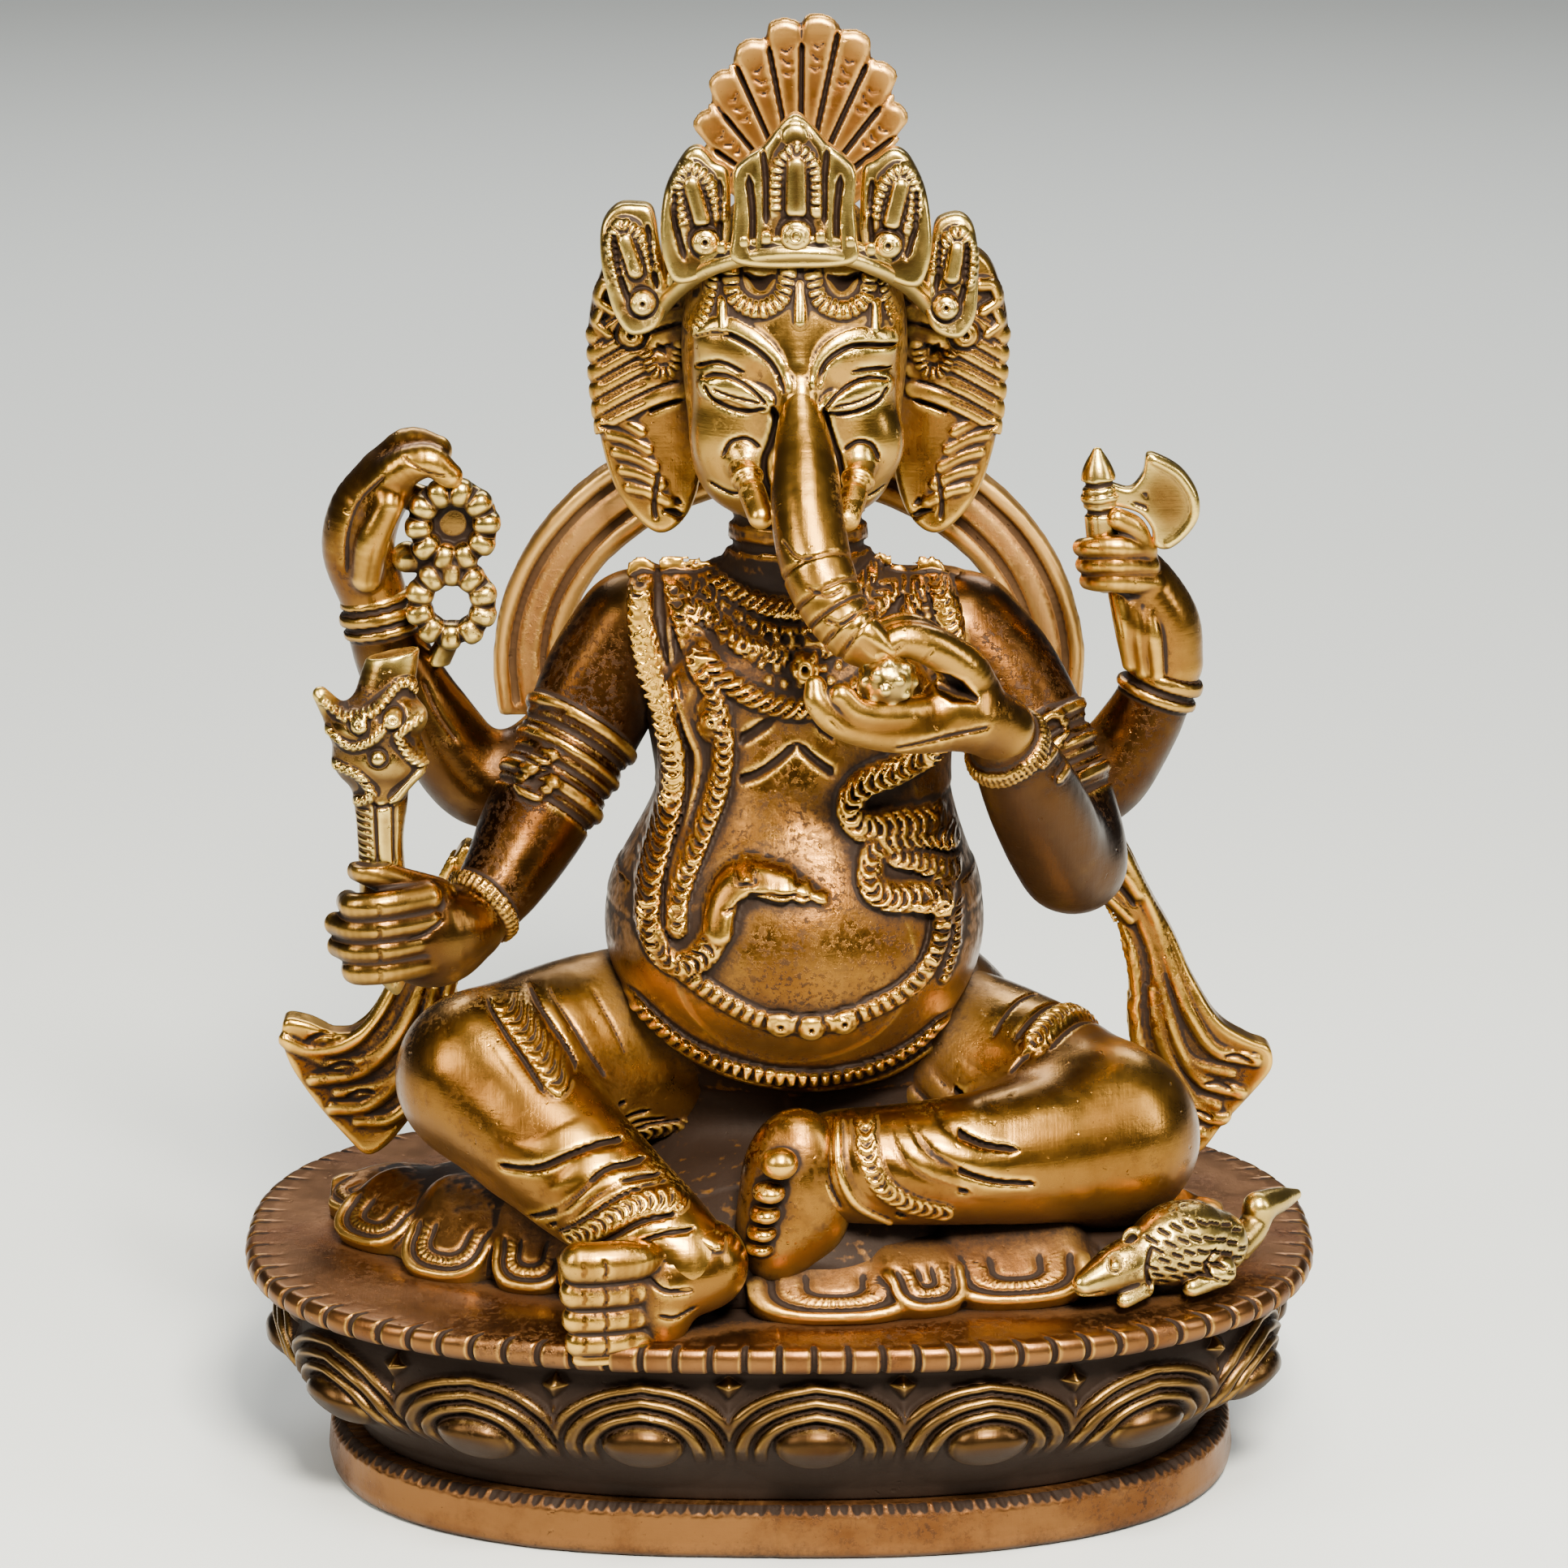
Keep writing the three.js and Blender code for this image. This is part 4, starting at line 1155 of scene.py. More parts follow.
    rear = Relief(clay, "back")
    rear.ridge([(-27, 188), (-26, 176), (-18, 160), (-4, 146), (12, 132), (26, 118), (36, 108)], 2.4, 1.5,
            "vee", 1.8, 0.7)
    rear.ridge([(32, 187), (32, 180), (34, 168), (36, 156)], 2.2, 1.4, "vee", 1.8, 0.7)
    rear.ridge([(-16, 190), (-8, 187), (4, 186), (16, 187), (22, 190)], 1.5, 1.2, "rope", 1.6)
    rear.ridge([(-36, 110), (-24, 104), (-8, 101), (4, 100.5), (16, 101), (32, 104), (42, 110)], 1.8, 1.5,
            "cross", 1.9)
    rear.ridge([(-44, 96), (-26, 90), (4, 87), (32, 90), (50, 96)], 1.0, 0.9)
    for k in range(5):
        x = -26 + 15 * k
        rear.groove([(x, 84), (x + 3 * (k - 2) * 0.6, 72), (x + 5 * (k - 2), 58)], 0.9, 0.9)
    rear.press()
    thin = np.interp(clay.axes[2], [187, 193], [4.0, 0.7])[None, None, :]
    clay.d = np.maximum(clay.d, bare - thin)
    remember(clay)

    def painted_shade(v):
        """Painted shade at the neck under the head, in the lap, and where the arms and the serpent leave the
        chest.
        """
        neck = soft_step(v[:, 2], 183, 193)
        chest = 0.5 * soft_step(v[:, 2], 174, 184) * (np.abs(v[:, 0] - 3) < 26)
        lap = 0.9 * soft_step(-v[:, 2], -96, -84)
        sides = 0.7 * soft_step(np.abs(v[:, 0] - 3), 24, 33) * soft_step(v[:, 2], 104, 120)
        return 0.085 * np.maximum(np.maximum(neck, chest), np.maximum(1.3 * lap, sides))

    cast("torso_casting", clay, FIGURE, "figure_casting", ["torso"], rough=0.16, seed=21, painted_shade=painted_shade)


def right_leg():
    """The raised leg, on the viewer's left."""
    clay = block_for(["right_leg"], 4)
    clay.add(limb((-14, 8, 84, 24), (-38, -9, 90, 20), (-60, -24, 90, 16.8)))
    clay.add(limb((-60.5, -25, 89.5, 16.6), (-50, -35, 83, 15.4), (-38, -45, 75, 13.6),
            (-26, -53.5, 67.5, 11.6),
                  (-19, -58, 62, 10.5)), blend=5)
    clay.add(blob((-47, -30, 77), (15, 12, 13), (0, 30, 0)), blend=6)
    clay.soften(2.0)
    clay.keep_above(DECK + 3.2)
    front = Relief(clay, "front")
    # cloth over the thigh: a scaled border and folds
    front.ridge([(-57, 109), (-52.5, 105), (-47.5, 99.5), (-44, 95.5)], 2.7, 0.9, "scale", 2.1, 0.8,
            flat=0.8)
    front.fold([(-60, 108.5), (-55.5, 103), (-50.5, 97.5), (-47, 93.5)], 0.7, 0.9)
    front.fold([(-53.5, 111), (-49, 106), (-44, 100), (-40.5, 95)], 0.7, 0.9)
    front.fold([(-47, 108), (-42, 102), (-38, 96), (-35, 91.5)], 0.7, 0.5)
    front.fold([(-38, 107), (-34, 101), (-31, 95)], 0.6, 0.4)
    # folds round the shin, and the scaled hem
    front.fold([(-56, 79.3), (-48.5, 80.3), (-41.5, 83.5), (-36, 85), (-31, 85.2)], 1.1, 1.5)
    front.fold([(-50, 68.5), (-43.5, 73), (-38.5, 78), (-34, 81.3), (-26.5, 82)], 1.0, 1.4)
    front.fold([(-46, 68), (-40, 73), (-35.5, 77), (-29.5, 79.5), (-23, 79.3)], 0.8, 1.2)
    front.ridge([(-41.5, 67), (-36, 71), (-31, 74.5), (-26, 76.3), (-20, 76.5)], 2.3, 1.0, "scale", 2.1,
            0.8, flat=0.8)
    front.fold([(-44, 67.5), (-38, 72.5), (-32.5, 76.5), (-27, 78.3), (-20, 78.6)], 0.5, 0.9)
    front.fold([(-38, 65), (-33, 69), (-27.5, 72.5), (-20.5, 73.8)], 0.8, 1.2)
    front.fold([(-34, 63), (-29.5, 67.5), (-24, 70.3), (-17, 71)], 0.8, 1.2)
    front.press()
    top = Relief(clay, "top")
    top.groove([(-50, -2), (-44, 6), (-36, 14)], 0.8, 0.8)
    top.groove([(-42, -6), (-36, 3), (-28, 10)], 0.8, 0.8)
    top.press()
    remember(clay)
    cast("right_leg_casting", clay, FIGURE, "figure_casting", ["right_leg"], rough=0.14, seed=31)


def right_foot():
    clay = block_for(["right_foot"], 4, FINE)
    clay.add(blob((-16.5, -58.5, 60.8), (9, 8.5, 8.2)))
    clay.add(limb((-15, -57.5, 62, 8.6), (-20, -60, 60, 8.4), (-23.5, -62.2, 57.5, 7.6)), blend=3)
    clay.add(blob((-24, -63, 60.5), (6.0, 5.5, 9.0)), blend=3)
    clay.add(blob((-23.5, -63, 52.5), (5.6, 5.5, 7.0)), blend=3)
    for z, r, reach in ((66.4, 4.3, 43.4), (60.2, 3.4, 43.4), (54.8, 3.1, 43.0), (49.9, 2.9, 42.4),
            (46.4, 2.0, 41.0)):
        clay.add(limb((-25, -65.0, z - 0.6, r * 0.8), (-29.5, -68.4, z, r * 0.95),
                (-35.4, -69.9, z, r * 0.98),
                      (-reach + r, -70.0, z, r)), blend=0.35)
    clay.cut(limb((-28.6, -72.4, 63, 0.5), (-28.0, -71.6, 58, 1.1), (-28.6, -71.8, 50, 0.8)), blend=1.2)
    clay.keep_above(44.5)
    front = Relief(clay, "front")
    front.groove([(-26, 63), (-22.5, 60.4), (-17, 60)], 0.6, 1.1)
    front.groove([(-24.6, 67.4), (-21, 65.8), (-18.6, 66.6)], 0.5, 0.9)
    front.groove([(-24, 55.4), (-20.6, 54.6), (-16.4, 56)], 0.5, 0.8)
    for z in (66.4, 60.2, 54.8, 49.9):
        front.groove([(-34.4, z + 2), (-33.8, z), (-34.4, z - 2)], 0.4, 0.6)
        front.groove([(-38.6, z + 1.6), (-38.1, z), (-38.6, z - 1.6)], 0.3, 0.35)
    front.ridge([(-25, 70.5), (-19, 71), (-12, 68)], 1.2, 0.9)
    front.press()
    remember(clay)
    # painted shade on the heel end of the foot, towards the middle of the figure
    cast("right_foot_casting", clay, FIGURE, "figure_casting", ["right_foot"], rough=0.12, seed=33,
         painted_shade=lambda v: 0.05 * soft_step(v[:, 0], -19, -10))


def left_leg():
    """The folded leg, on the viewer's right."""
    clay = block_for(["left_leg"], 4)
    clay.add(limb((24, 8, 82, 24), (48, -6, 80, 21), (67, -22, 75.5, 18.2)))
    clay.add(limb((67, -24, 77.5, 16.4), (56, -32, 77, 15.2), (42, -38, 77, 13.6), (26, -42, 77, 12.3),
                  (12, -43, 77, 11.5)), blend=6)
    clay.add(blob((68, -23, 80), (13, 13, 13)), blend=6)
    clay.soften(2.0)
    clay.keep_above(DECK + 3.2)
    front = Relief(clay, "front")
    front.fold([(29.6, 92.5), (33.5, 87.5), (40, 84), (47.5, 82.4)], 1.2, 1.7)
    front.fold([(24.4, 92), (27, 86.6), (32.2, 81.6), (41.3, 77.2), (51, 75.4)], 1.0, 1.4)
    front.fold([(21, 91.6), (23, 84.4), (28.2, 78.8), (38, 74.6)], 0.9, 1.3)
    front.ridge([(17.0, 91), (17.6, 83.5), (20.5, 77), (26, 72.6), (33, 69.8)], 2.2, 0.9, "scale", 2.1,
            0.8, flat=0.8)
    front.fold([(13.6, 90), (13.6, 82), (17.1, 74.4), (25.5, 69.0)], 0.8, 1.2)
    front.ridge([(11.6, 89), (11.8, 81), (15, 73), (22, 67.4)], 0.9, 0.8)
    front.fold([(9.6, 88), (9.6, 79), (12.5, 71.5)], 0.7, 0.8)
    # cloth border over the thigh, with folds beside it
    front.fold([(54, 97), (50, 93.5), (46.5, 90.5)], 0.7, 0.5)
    front.press()
    top = Relief(clay, "top")
    top.ridge([(51.5, -22), (56.5, -14.5), (61.5, -6), (65.5, 2)], 2.6, 1.1, "scale", 2.1, 0.8, flat=0.7)
    top.groove([(55, -23.5), (60, -16), (65, -7.5), (69, 0)], 0.7, 1.2)
    top.groove([(48, -20), (53, -12.5), (58, -4), (62, 4)], 0.7, 1.2)
    top.groove([(43.5, -18.5), (48, -11), (53, -3)], 0.6, 0.9)
    top.press()
    remember(clay)
    cast("left_leg_casting", clay, FIGURE, "figure_casting", ["left_leg"], rough=0.14, seed=35)


def left_foot():
    """The upturned sole in the lap, its toes one above another."""
    clay = block_for(["left_foot"], 5, FINE)
    clay.add(blob((3.5, -46, 73), (11.5, 9.5, 17)))
    clay.add(blob((-1, -48, 64), (7.5, 8, 10)), blend=4)
    for x, y, z, r, tall in ((0.2, -57.2, 82.6, 3.1, 3.2), (-1.8, -56.2, 76.2, 2.6, 2.1),
            (-2.6, -56.6, 71.8, 2.4, 1.8),
                             (-3.2, -56.2, 67.8, 2.3, 1.7), (-3.6, -55.2, 64.2, 2.1, 1.6)):
        clay.add(blob((x, y, z), (r * 1.15, 3.6, tall)), blend=0.7)
        clay.add(blob((x - 1.7, y + 1.0, z - 0.3), (r * 0.7, 3.0, tall * 0.85)), blend=0.5)
    clay.keep_above(DECK + 3.4)
    remember(clay)
    # painted shade on the foot behind the front of its toes, deeper in the lap
    cast("left_foot_casting", clay, FIGURE, "figure_casting", ["left_foot"], rough=0.12, seed=37,
         painted_shade=lambda v: 0.05 * soft_step(v[:, 1], -57.5, -54))


torso()
right_leg()
right_foot()
left_leg()
left_foot()


# ---------------------------------------------------------------- arms and what the hands hold

def front_right_arm():
    clay = block_for(["front_right_arm"], 4)
    clay.add(limb((-29, 5, 175, 13.4), (-36, 2, 165, 12.8), (-43, -4, 151, 11.4), (-50, -11, 139, 10.8),
                  (-56, -18.5, 129.5, 8.8), (-62, -25, 123, 6.8)))
    clay.soften(1.8)
    way = (-0.5, -0.42, -0.78)
    for centre, radius, half, height in (((-40.4, -1.6, 156.5), 14, 1.2, 1.0), ((-43.2, -4.4, 151.2), 14,
            0.9, 0.7),
                                         ((-46.6, -7.6, 145.4), 13.5, 1.3, 1.0)):
        ring_band(clay, centre, way, radius, half, height)
    for centre in ((-41.9, -3, 153.8), (-44.9, -6, 148.3), (-48.2, -9.2, 142.8)):
        ring_band(clay, centre, way, 14, 0.7, -0.7)
    ring_band(clay, (-60, -23, 125), (-0.6, -0.62, -0.5), 9, 1.8, 1.5, 1.5, 0.7)
    front = Relief(clay, "front")
    front.ridge([(-52.5, 149.5), (-49.5, 153.4), (-45.8, 154.6)], 1.5, 1.5)
    front.ridge([(-52, 148.5), (-48.5, 147.6), (-45.2, 150)], 1.3, 1.4)
    front.groove([(-51.5, 149.6), (-48.5, 151), (-45.8, 152)], 0.5, 1.2)
    front.groove([(-51, 160), (-47, 163), (-42.5, 163)], 0.6, 0.6)
    front.groove([(-26, 186), (-24, 178), (-24.5, 168), (-27, 158)], 0.9, 0.9)
    front.press()
    remember(clay)
    cast("front_right_arm_casting", clay, ARM_SHADED, "figure_casting", ["front_right_arm"], rough=0.12, seed=41)


def front_right_hand():
    clay = block_for(["front_right_hand"], 5, FINE)
    clay.add(blob((-70, -31, 121.5), (11.5, 8, 10.5), (0, 12, 20)))
    clay.add(limb((-62, -26, 123, 7.2), (-68, -29, 122, 8.5)), blend=4)
    for z, reach in ((131.0, -86.0), (126.4, -88.5), (121.8, -88.0), (117.6, -85.0)):
        clay.add(limb((-70, -36.5, z + 0.5, 2.9), (-78, -40.8, z + 0.2, 2.9), (-84, -40.2, z - 0.4, 2.8),
                      (reach, -35.5, z - 0.8, 2.4)), blend=0.7)
    clay.add(limb((-69, -32, 130, 4.2), (-76, -35.5, 134, 3.4), (-81.5, -37, 136.8, 2.9),
            (-84, -35, 136.5, 2.2)), blend=0.8)
    front = Relief(clay, "front")
    for z in (130.6, 126, 121.4, 117.2):
        front.groove([(-79.5, z + 1.6), (-79.1, z), (-79.5, z - 1.6)], 0.4, 0.35)
    front.groove([(-67, 127), (-71, 124.5), (-74, 124)], 0.5, 0.5)
    front.press()
    remember(clay)
    cast("front_right_hand_casting", clay, ARM_SHADED, "figure_casting", ["front_right_hand"], rough=0.12, seed=43)


def tusk_emblem():
    """The held tusk in its ornate mount."""
    clay = block_for(["tusk_emblem"], 5, FINE)
    clay.add(limb((-77, -32, 110.5, 1.0), (-77.6, -32, 114, 3.0), (-78.4, -31.5, 119, 5.2),
            (-79, -31, 126, 5.0),
                  (-79.6, -31, 140, 4.6), (-79.4, -30.6, 150, 5.4)))
    clay.add(blob((-79.6, -30, 159), (9.4, 7.5, 7.6)), blend=3)
    clay.add(blob((-80, -30, 166), (10.2, 7.8, 5.6), (0, -8, 0)), blend=2)
    clay.add(limb((-88.5, -30, 168, 2.6), (-91, -30, 171.5, 1.6)), blend=1.5)
    clay.add(limb((-79, -29, 168, 6), (-77.5, -28, 175, 5.4), (-76, -27.5, 180, 4.6),
            flat=((0, 1, 0), 1.15)), blend=2)
    clay.cut(blob((-72.5, -27, 184.5), (12, 9, 4), (0, -24, 0)), blend=0.6)
    front = Relief(clay, "front")
    front.ridge([(-91, 171), (-86, 168.5), (-80, 170), (-74.5, 174.5), (-71, 172)], 1.1, 1.4, "cross", 1.3)
    front.ridge([(-89.5, 165), (-85, 162.5), (-80.5, 164), (-77.5, 167.5)], 1.0, 1.2, "rope", 1.2)
    front.ridge([(-71, 168), (-75, 165), (-73, 160.5), (-70, 158)], 1.2, 1.3, "rope", 1.3)
    front.ridge([(-88, 158), (-83.5, 156.5), (-81, 152.5), (-84, 150.5)], 1.2, 1.3, "rope", 1.3)
    front.ridge([(-71, 156.5), (-74, 153.5), (-76.5, 151)], 1.1, 1.3)
    front.dome((-83, 167.2), 1.7, 1.5, dot=0.6)
    front.dome((-76.3, 168.3), 1.9, 1.6, dot=0.6)
    front.dome((-79.3, 160.4), 1.5, 1.2)
    for z in np.arange(137.5, 151, 1.5):
        front.groove([(-84.5, z), (-80.8, z - 0.4)], 0.4, 0.5, smooth=False)
    front.groove([(-80.3, 151), (-80, 138)], 0.5, 0.8)
    front.groove([(-76.6, 151), (-76.8, 138)], 0.4, 0.6)
    front.groove([(-81, 150.6), (-79, 149.8), (-75, 151)], 0.5, 0.8)
    front.groove([(-77, 119), (-77.2, 112)], 0.6, 0.5)
    front.press()
    rear = Relief(clay, "back")
    rear.ridge([(-90, 168), (-84, 164), (-78, 167), (-71, 165)], 1.1, 1.3, "rope", 1.3)
    rear.ridge([(-88, 158), (-82, 154), (-74, 155)], 1.1, 1.2, "rope", 1.3)
    rear.press()
    remember(clay)
    cast("tusk_emblem_casting", clay, ORNAMENT, "ornament_casting", ["tusk_emblem"], rough=0.16, seed=45)


def front_left_arm():
    clay = block_for(["front_left_arm"], 4)
    clay.add(limb((37, 5, 175, 13.2), (46, 1, 165, 12.6), (54, -4.5, 151, 11.4), (59, -9.5, 139, 10.6),
                  (60, -13.5, 132, 9.8)))
    clay.add(limb((60, -13.5, 132, 9.8), (57.5, -19, 134, 9.9), (53, -26.5, 145, 10.2),
            (48.5, -34, 155.5, 9.2),
                  (43.8, -42, 166.5, 7.0)), blend=5)
    clay.soften(1.8)
    way = (0.42, -0.28, -0.86)
    for centre, half, height in (((51, -2.2, 157), 1.2, 1.0), ((53.8, -4.4, 151.4), 0.9, 0.7),
            ((56.4, -6.8, 145.4), 1.3, 1.0)):
        ring_band(clay, centre, way, 13.5, half, height)
    for centre in ((52.4, -3.3, 154.2), (55.1, -5.6, 148.4), (57.4, -8, 142.8)):
        ring_band(clay, centre, way, 13.5, 0.7, -0.7)
    ring_band(clay, (45.0, -40, 163.8), (-0.42, -0.55, 0.72), 9.5, 1.9, 1.5, 1.3, 0.6)
    front = Relief(clay, "front")
    front.ridge([(52, 161), (55.5, 163), (58, 159.5), (55.5, 157)], 1.0, 1.2)
    front.groove([(33, 186), (36.5, 177), (37, 167)], 0.9, 0.9)
    front.press()
    remember(clay)
    cast("front_left_arm_casting", clay, ARM_SHADED, "figure_casting", ["front_left_arm"], rough=0.12, seed=47)


def front_left_hand():
    clay = block_for(["front_left_hand"], 5, FINE)
    clay.add(limb((43.5, -43, 168, 6.8), (38, -47.5, 172, 7.0), (33, -50.5, 174.5, 6.0)))
    clay.add(limb((36, -49, 171.5, 5.8), (28, -54, 171, 4.8), (19, -57.6, 171.6, 3.8),
            (11.5, -59.4, 174, 3.2),
                  (7.6, -59.6, 178, 2.7), (7, -58.6, 181, 2.1)), blend=2.5)
    clay.add(limb((32, -51, 174, 4.4), (24, -56.5, 174.5, 3.4), (16, -59.5, 175.8, 2.9),
            (12, -60, 179.5, 2.4)), blend=1.0)
    clay.add(limb((38, -47.5, 177, 5.2), (35.5, -50, 182.5, 4.6), (30, -52.5, 187, 3.9),
            (24, -54, 189, 3.5),
                  (18.5, -55.5, 187.2, 2.9)), blend=2.0)
    clay.add(limb((37, -46, 178, 4.6), (32, -48.5, 185.5, 3.4), (25, -50.5, 190.5, 3.0),
            (19, -52, 190, 2.4)), blend=0.8)
    front = Relief(clay, "front")
    front.groove([(38, 177), (33.5, 179.4), (28.6, 182.2)], 2.3, 4.2)
    front.groove([(41, 171.5), (33, 170.5), (22, 168.6)], 0.6, 0.6)
    front.groove([(21.5, 186.5), (24, 189.5)], 0.4, 0.5)
    front.groove([(27.5, 184.8), (30, 188)], 0.35, 0.4)
    front.groove([(9.6, 175.8), (12.4, 172.6)], 0.35, 0.4)
    front.press()
    remember(clay)
    cast("front_left_hand_casting", clay, FIGURE, "figure_casting", ["front_left_hand"], rough=0.12,
            seed=49)


def sweet_ball():
    clay = block_for(["sweet_ball"], 3, FINE)
    clay.add(blob((21, -55.5, 181.5), (5.6, 5.4, 5.2)))
    for k in range(26):
        up = 1 - 2 * (k + 0.5) / 26
        turn = k * 2.39996
        flat = math.sqrt(1 - up * up)
        clay.add(blob((21 + 5 * flat * math.cos(turn), -55.5 + 5 * flat * math.sin(turn), 181.5 + 4.7 * up),
                      (1.2, 1.2, 1.2)), blend=0.5)
    remember(clay)
    cast("sweet_ball_casting", clay, ORNAMENT, "ornament_casting", ["sweet_ball"], rough=0.12, seed=51)


def rear_right_arm():
    clay = block_for(["rear_right_arm"], 4)
    clay.add(limb((-40, 15, 153, 10), (-51, 13.5, 143.5, 10.2), (-62, 12.5, 142, 10), (-71.5, 12, 154, 9.0),
                  (-78.5, 12, 166, 8.2), (-82.5, 12, 178, 7.2)))
    clay.soften(1.6)
    for z, half, height in ((174.5, 0.9, 0.9), (177.6, 1.3, 1.3), (180.8, 1.0, 1.0)):
        ring_band(clay, (-82 - (z - 177) * 0.2, 12, z), (-0.2, 0, 1), 10, half, height)
    front = Relief(clay, "front")
    front.groove([(-73, 165), (-70, 158), (-66, 152)], 0.6, 0.4)
    front.press()
    remember(clay)
    cast("rear_right_arm_casting", clay, ARM_SHADED, "figure_casting", ["rear_right_arm"], rough=0.16, seed=53)


def rear_right_hand():
    """Fingers bent over the rosary's upper loop."""
    clay = block_for(["rear_right_hand"], 5, FINE)
    clay.add(limb((-83.5, 12, 182, 7.0), (-86, 11, 191, 7.4), (-84.5, 10, 199, 7.4), (-80, 9, 206, 6.4)))
    clay.add(limb((-81, 6, 203, 4.6), (-77, 4, 209, 4.2), (-71, 2.5, 211.5, 3.4),
            (-66.5, 2.5, 208.5, 2.6)), blend=2)
    clay.add(limb((-81, 11, 206, 4.6), (-75.5, 9, 212.5, 4.4), (-69.5, 7.5, 212.5, 3.2)), blend=2)
    clay.add(limb((-84, 3.8, 187, 3.0), (-82.5, 2.2, 195, 3.4), (-79, 2.0, 202.5, 3.0)), blend=2)
    front = Relief(clay, "front")
    front.groove([(-88, 188), (-87.5, 196), (-85, 203), (-79.5, 209)], 0.5, 0.6)
    front.groove([(-76, 213), (-71, 209.8), (-67, 209)], 0.4, 0.5)
    front.press()
    remember(clay)
    cast("rear_right_hand_casting", clay, FIGURE, "figure_casting", ["rear_right_hand"], rough=0.14,
            seed=55)


def rosary():
    """Two loops of beads, the upper one with a backing."""
    clay = block_for(["rosary"], 5, FINE)
    for (cx, cz), radius, count, start in (((-66.3, 197.8), 6.9, 10, 0.1), ((-66.8, 181.3), 6.7, 10, 0.45)):
        for k in range(count):
            a = 2 * math.pi * (k + start) / count
            degrees = -math.degrees(a)
            clay.add(blob((cx + radius * math.cos(a), 4.6, cz + radius * math.sin(a)), (2.9, 3.4, 2.3),
                    (0, degrees, 0),
                          power=2.6), blend=0.35)
        ring = [(cx + radius * math.cos(t), 6.5, cz + radius * math.sin(t), 2.3) for t in np.linspace(0,
                2 * math.pi, 17)]
        clay.add(straight(*ring), blend=0.4)
    clay.add(blob((-66.3, 7.6, 197.8), (6.5, 1.8, 6.5)), blend=0.8)
    clay.add(limb((-70, 7, 190, 2.6), (-76, 9, 190, 3.2)), blend=1.0)
    clay.add(limb((-70.5, 7, 202, 2.6), (-76, 9, 203, 3.0)), blend=1.0)
    clay.add(limb((-66.8, 8, 174.5, 2.2), (-70, 10, 168, 2.6)), blend=1.5)
    remember(clay)
    cast("rosary_casting", clay, ORNAMENT, "ornament_casting", ["rosary"], rough=0.1, seed=57)


def rear_left_arm():
    clay = block_for(["rear_left_arm"], 4)
    clay.add(limb((48, 15, 153, 10), (57, 13, 142.5, 10), (66, 12, 142, 9.6), (74, 12, 153, 8.4),
            (79.6, 12, 165, 7.2)))
    clay.soften(1.6)
    for z, half, height in ((160.6, 1.1, 1.2), (164.2, 1.5, 1.4)):
        ring_band(clay, (78 + (z - 161) * 0.35, 12, z), (0.38, 0, 1), 10, half, height)
    remember(clay)
    cast("rear_left_arm_casting", clay, ARM_SHADED, "figure_casting", ["rear_left_arm"], rough=0.16, seed=59)


def rear_left_hand():
    clay = block_for(["rear_left_hand"], 5, FINE)
    clay.add(limb((80, 12, 167, 7.2), (79, 11.5, 175, 7.4), (75.5, 10.5, 182, 7.0), (70.5, 9, 188.5, 6.2)))
    for k, (x, z) in enumerate(((70.5, 168.5), (73.2, 167), (76, 166.2))):
        clay.add(limb((x - 1.5 + k * 0.3, 5.2, z + 15 - k, 2.1), (x, 4.2, z + 8, 2.2),
                (x + 1.2, 5.2, z, 1.7)), blend=0.7)
    for z, reach in ((193.8, 0.0), (190.2, 0.6), (186.8, 1.4)):
        clay.add(limb((74.5 + reach, 6, z - 1.5, 2.5), (69, 1.8, z, 2.5), (63.5 + reach, 3.0, z - 0.4, 2.2),
                      (61.6 + reach, 6.5, z - 1.2, 1.9)), blend=0.6)
    clay.add(limb((74, 7, 191, 3.0), (72, 4, 197, 2.6), (68.5, 3, 199.5, 2.2)), blend=0.8)
    remember(clay)
    cast("rear_left_hand_casting", clay, FIGURE, "figure_casting", ["rear_left_hand"], rough=0.14, seed=61)


def axe():
    clay = block_for(["axe_handle"], 4, FINE)
    clay.add(limb((66.5, 6.5, 186, 3.0), (65.8, 6.2, 196, 3.5), (65, 6, 205, 3.6), (64.6, 6, 208, 3.3),
            (64.4, 6, 212.5, 1.2)))
    for z, height in ((200.5, -0.7), (206.2, -0.8), (203.4, 0.5)):
        ring_band(clay, (65.2, 6, z), (-0.1, 0, 1), 5.5, 0.7, height)
    remember(clay)
    cast("axe_handle_casting", clay, ORNAMENT, "ornament_casting", ["axe_handle"], rough=0.1, seed=63)
    clay = block_for(["axe_blade"], 4, FINE)
    outline = [(66.5, 206.2), (71, 205.4), (73.6, 208.4), (74.4, 212.3), (77, 212), (81.5, 209.2),
            (84.8, 204.5),
               (85.2, 199.5), (82.8, 195.4), (79.2, 192.6), (76.2, 193.4), (75.6, 196.8), (73, 200),
               (68.5, 201.4), (66.5, 201.8)]
    clay.add(slab(outline, 4.2, 8.2, edge=0.9))
    front = Relief(clay, "front")
    front.groove([(73.5, 204.5), (76.5, 202.8), (78.4, 199.5), (78.2, 196)], 0.6, 0.6)
    front.groove([(71.5, 202.5), (75, 201), (76.6, 198)], 0.5, 0.6)
    front.ridge([(76, 211), (80.5, 208.4), (83.6, 204), (84, 199.6), (81.8, 196), (79, 193.8)], 0.9, 0.4)
    front.press()
    remember(clay)
    cast("axe_blade_casting", clay, ORNAMENT, "ornament_casting", ["axe_blade"], rough=0.12, seed=65)


front_right_arm()
front_right_hand()
tusk_emblem()
front_left_arm()
front_left_hand()
sweet_ball()
rear_right_arm()
rear_right_hand()
rosary()
rear_left_arm()
rear_left_hand()
axe()


# ---------------------------------------------------------------- head, ears and trunk

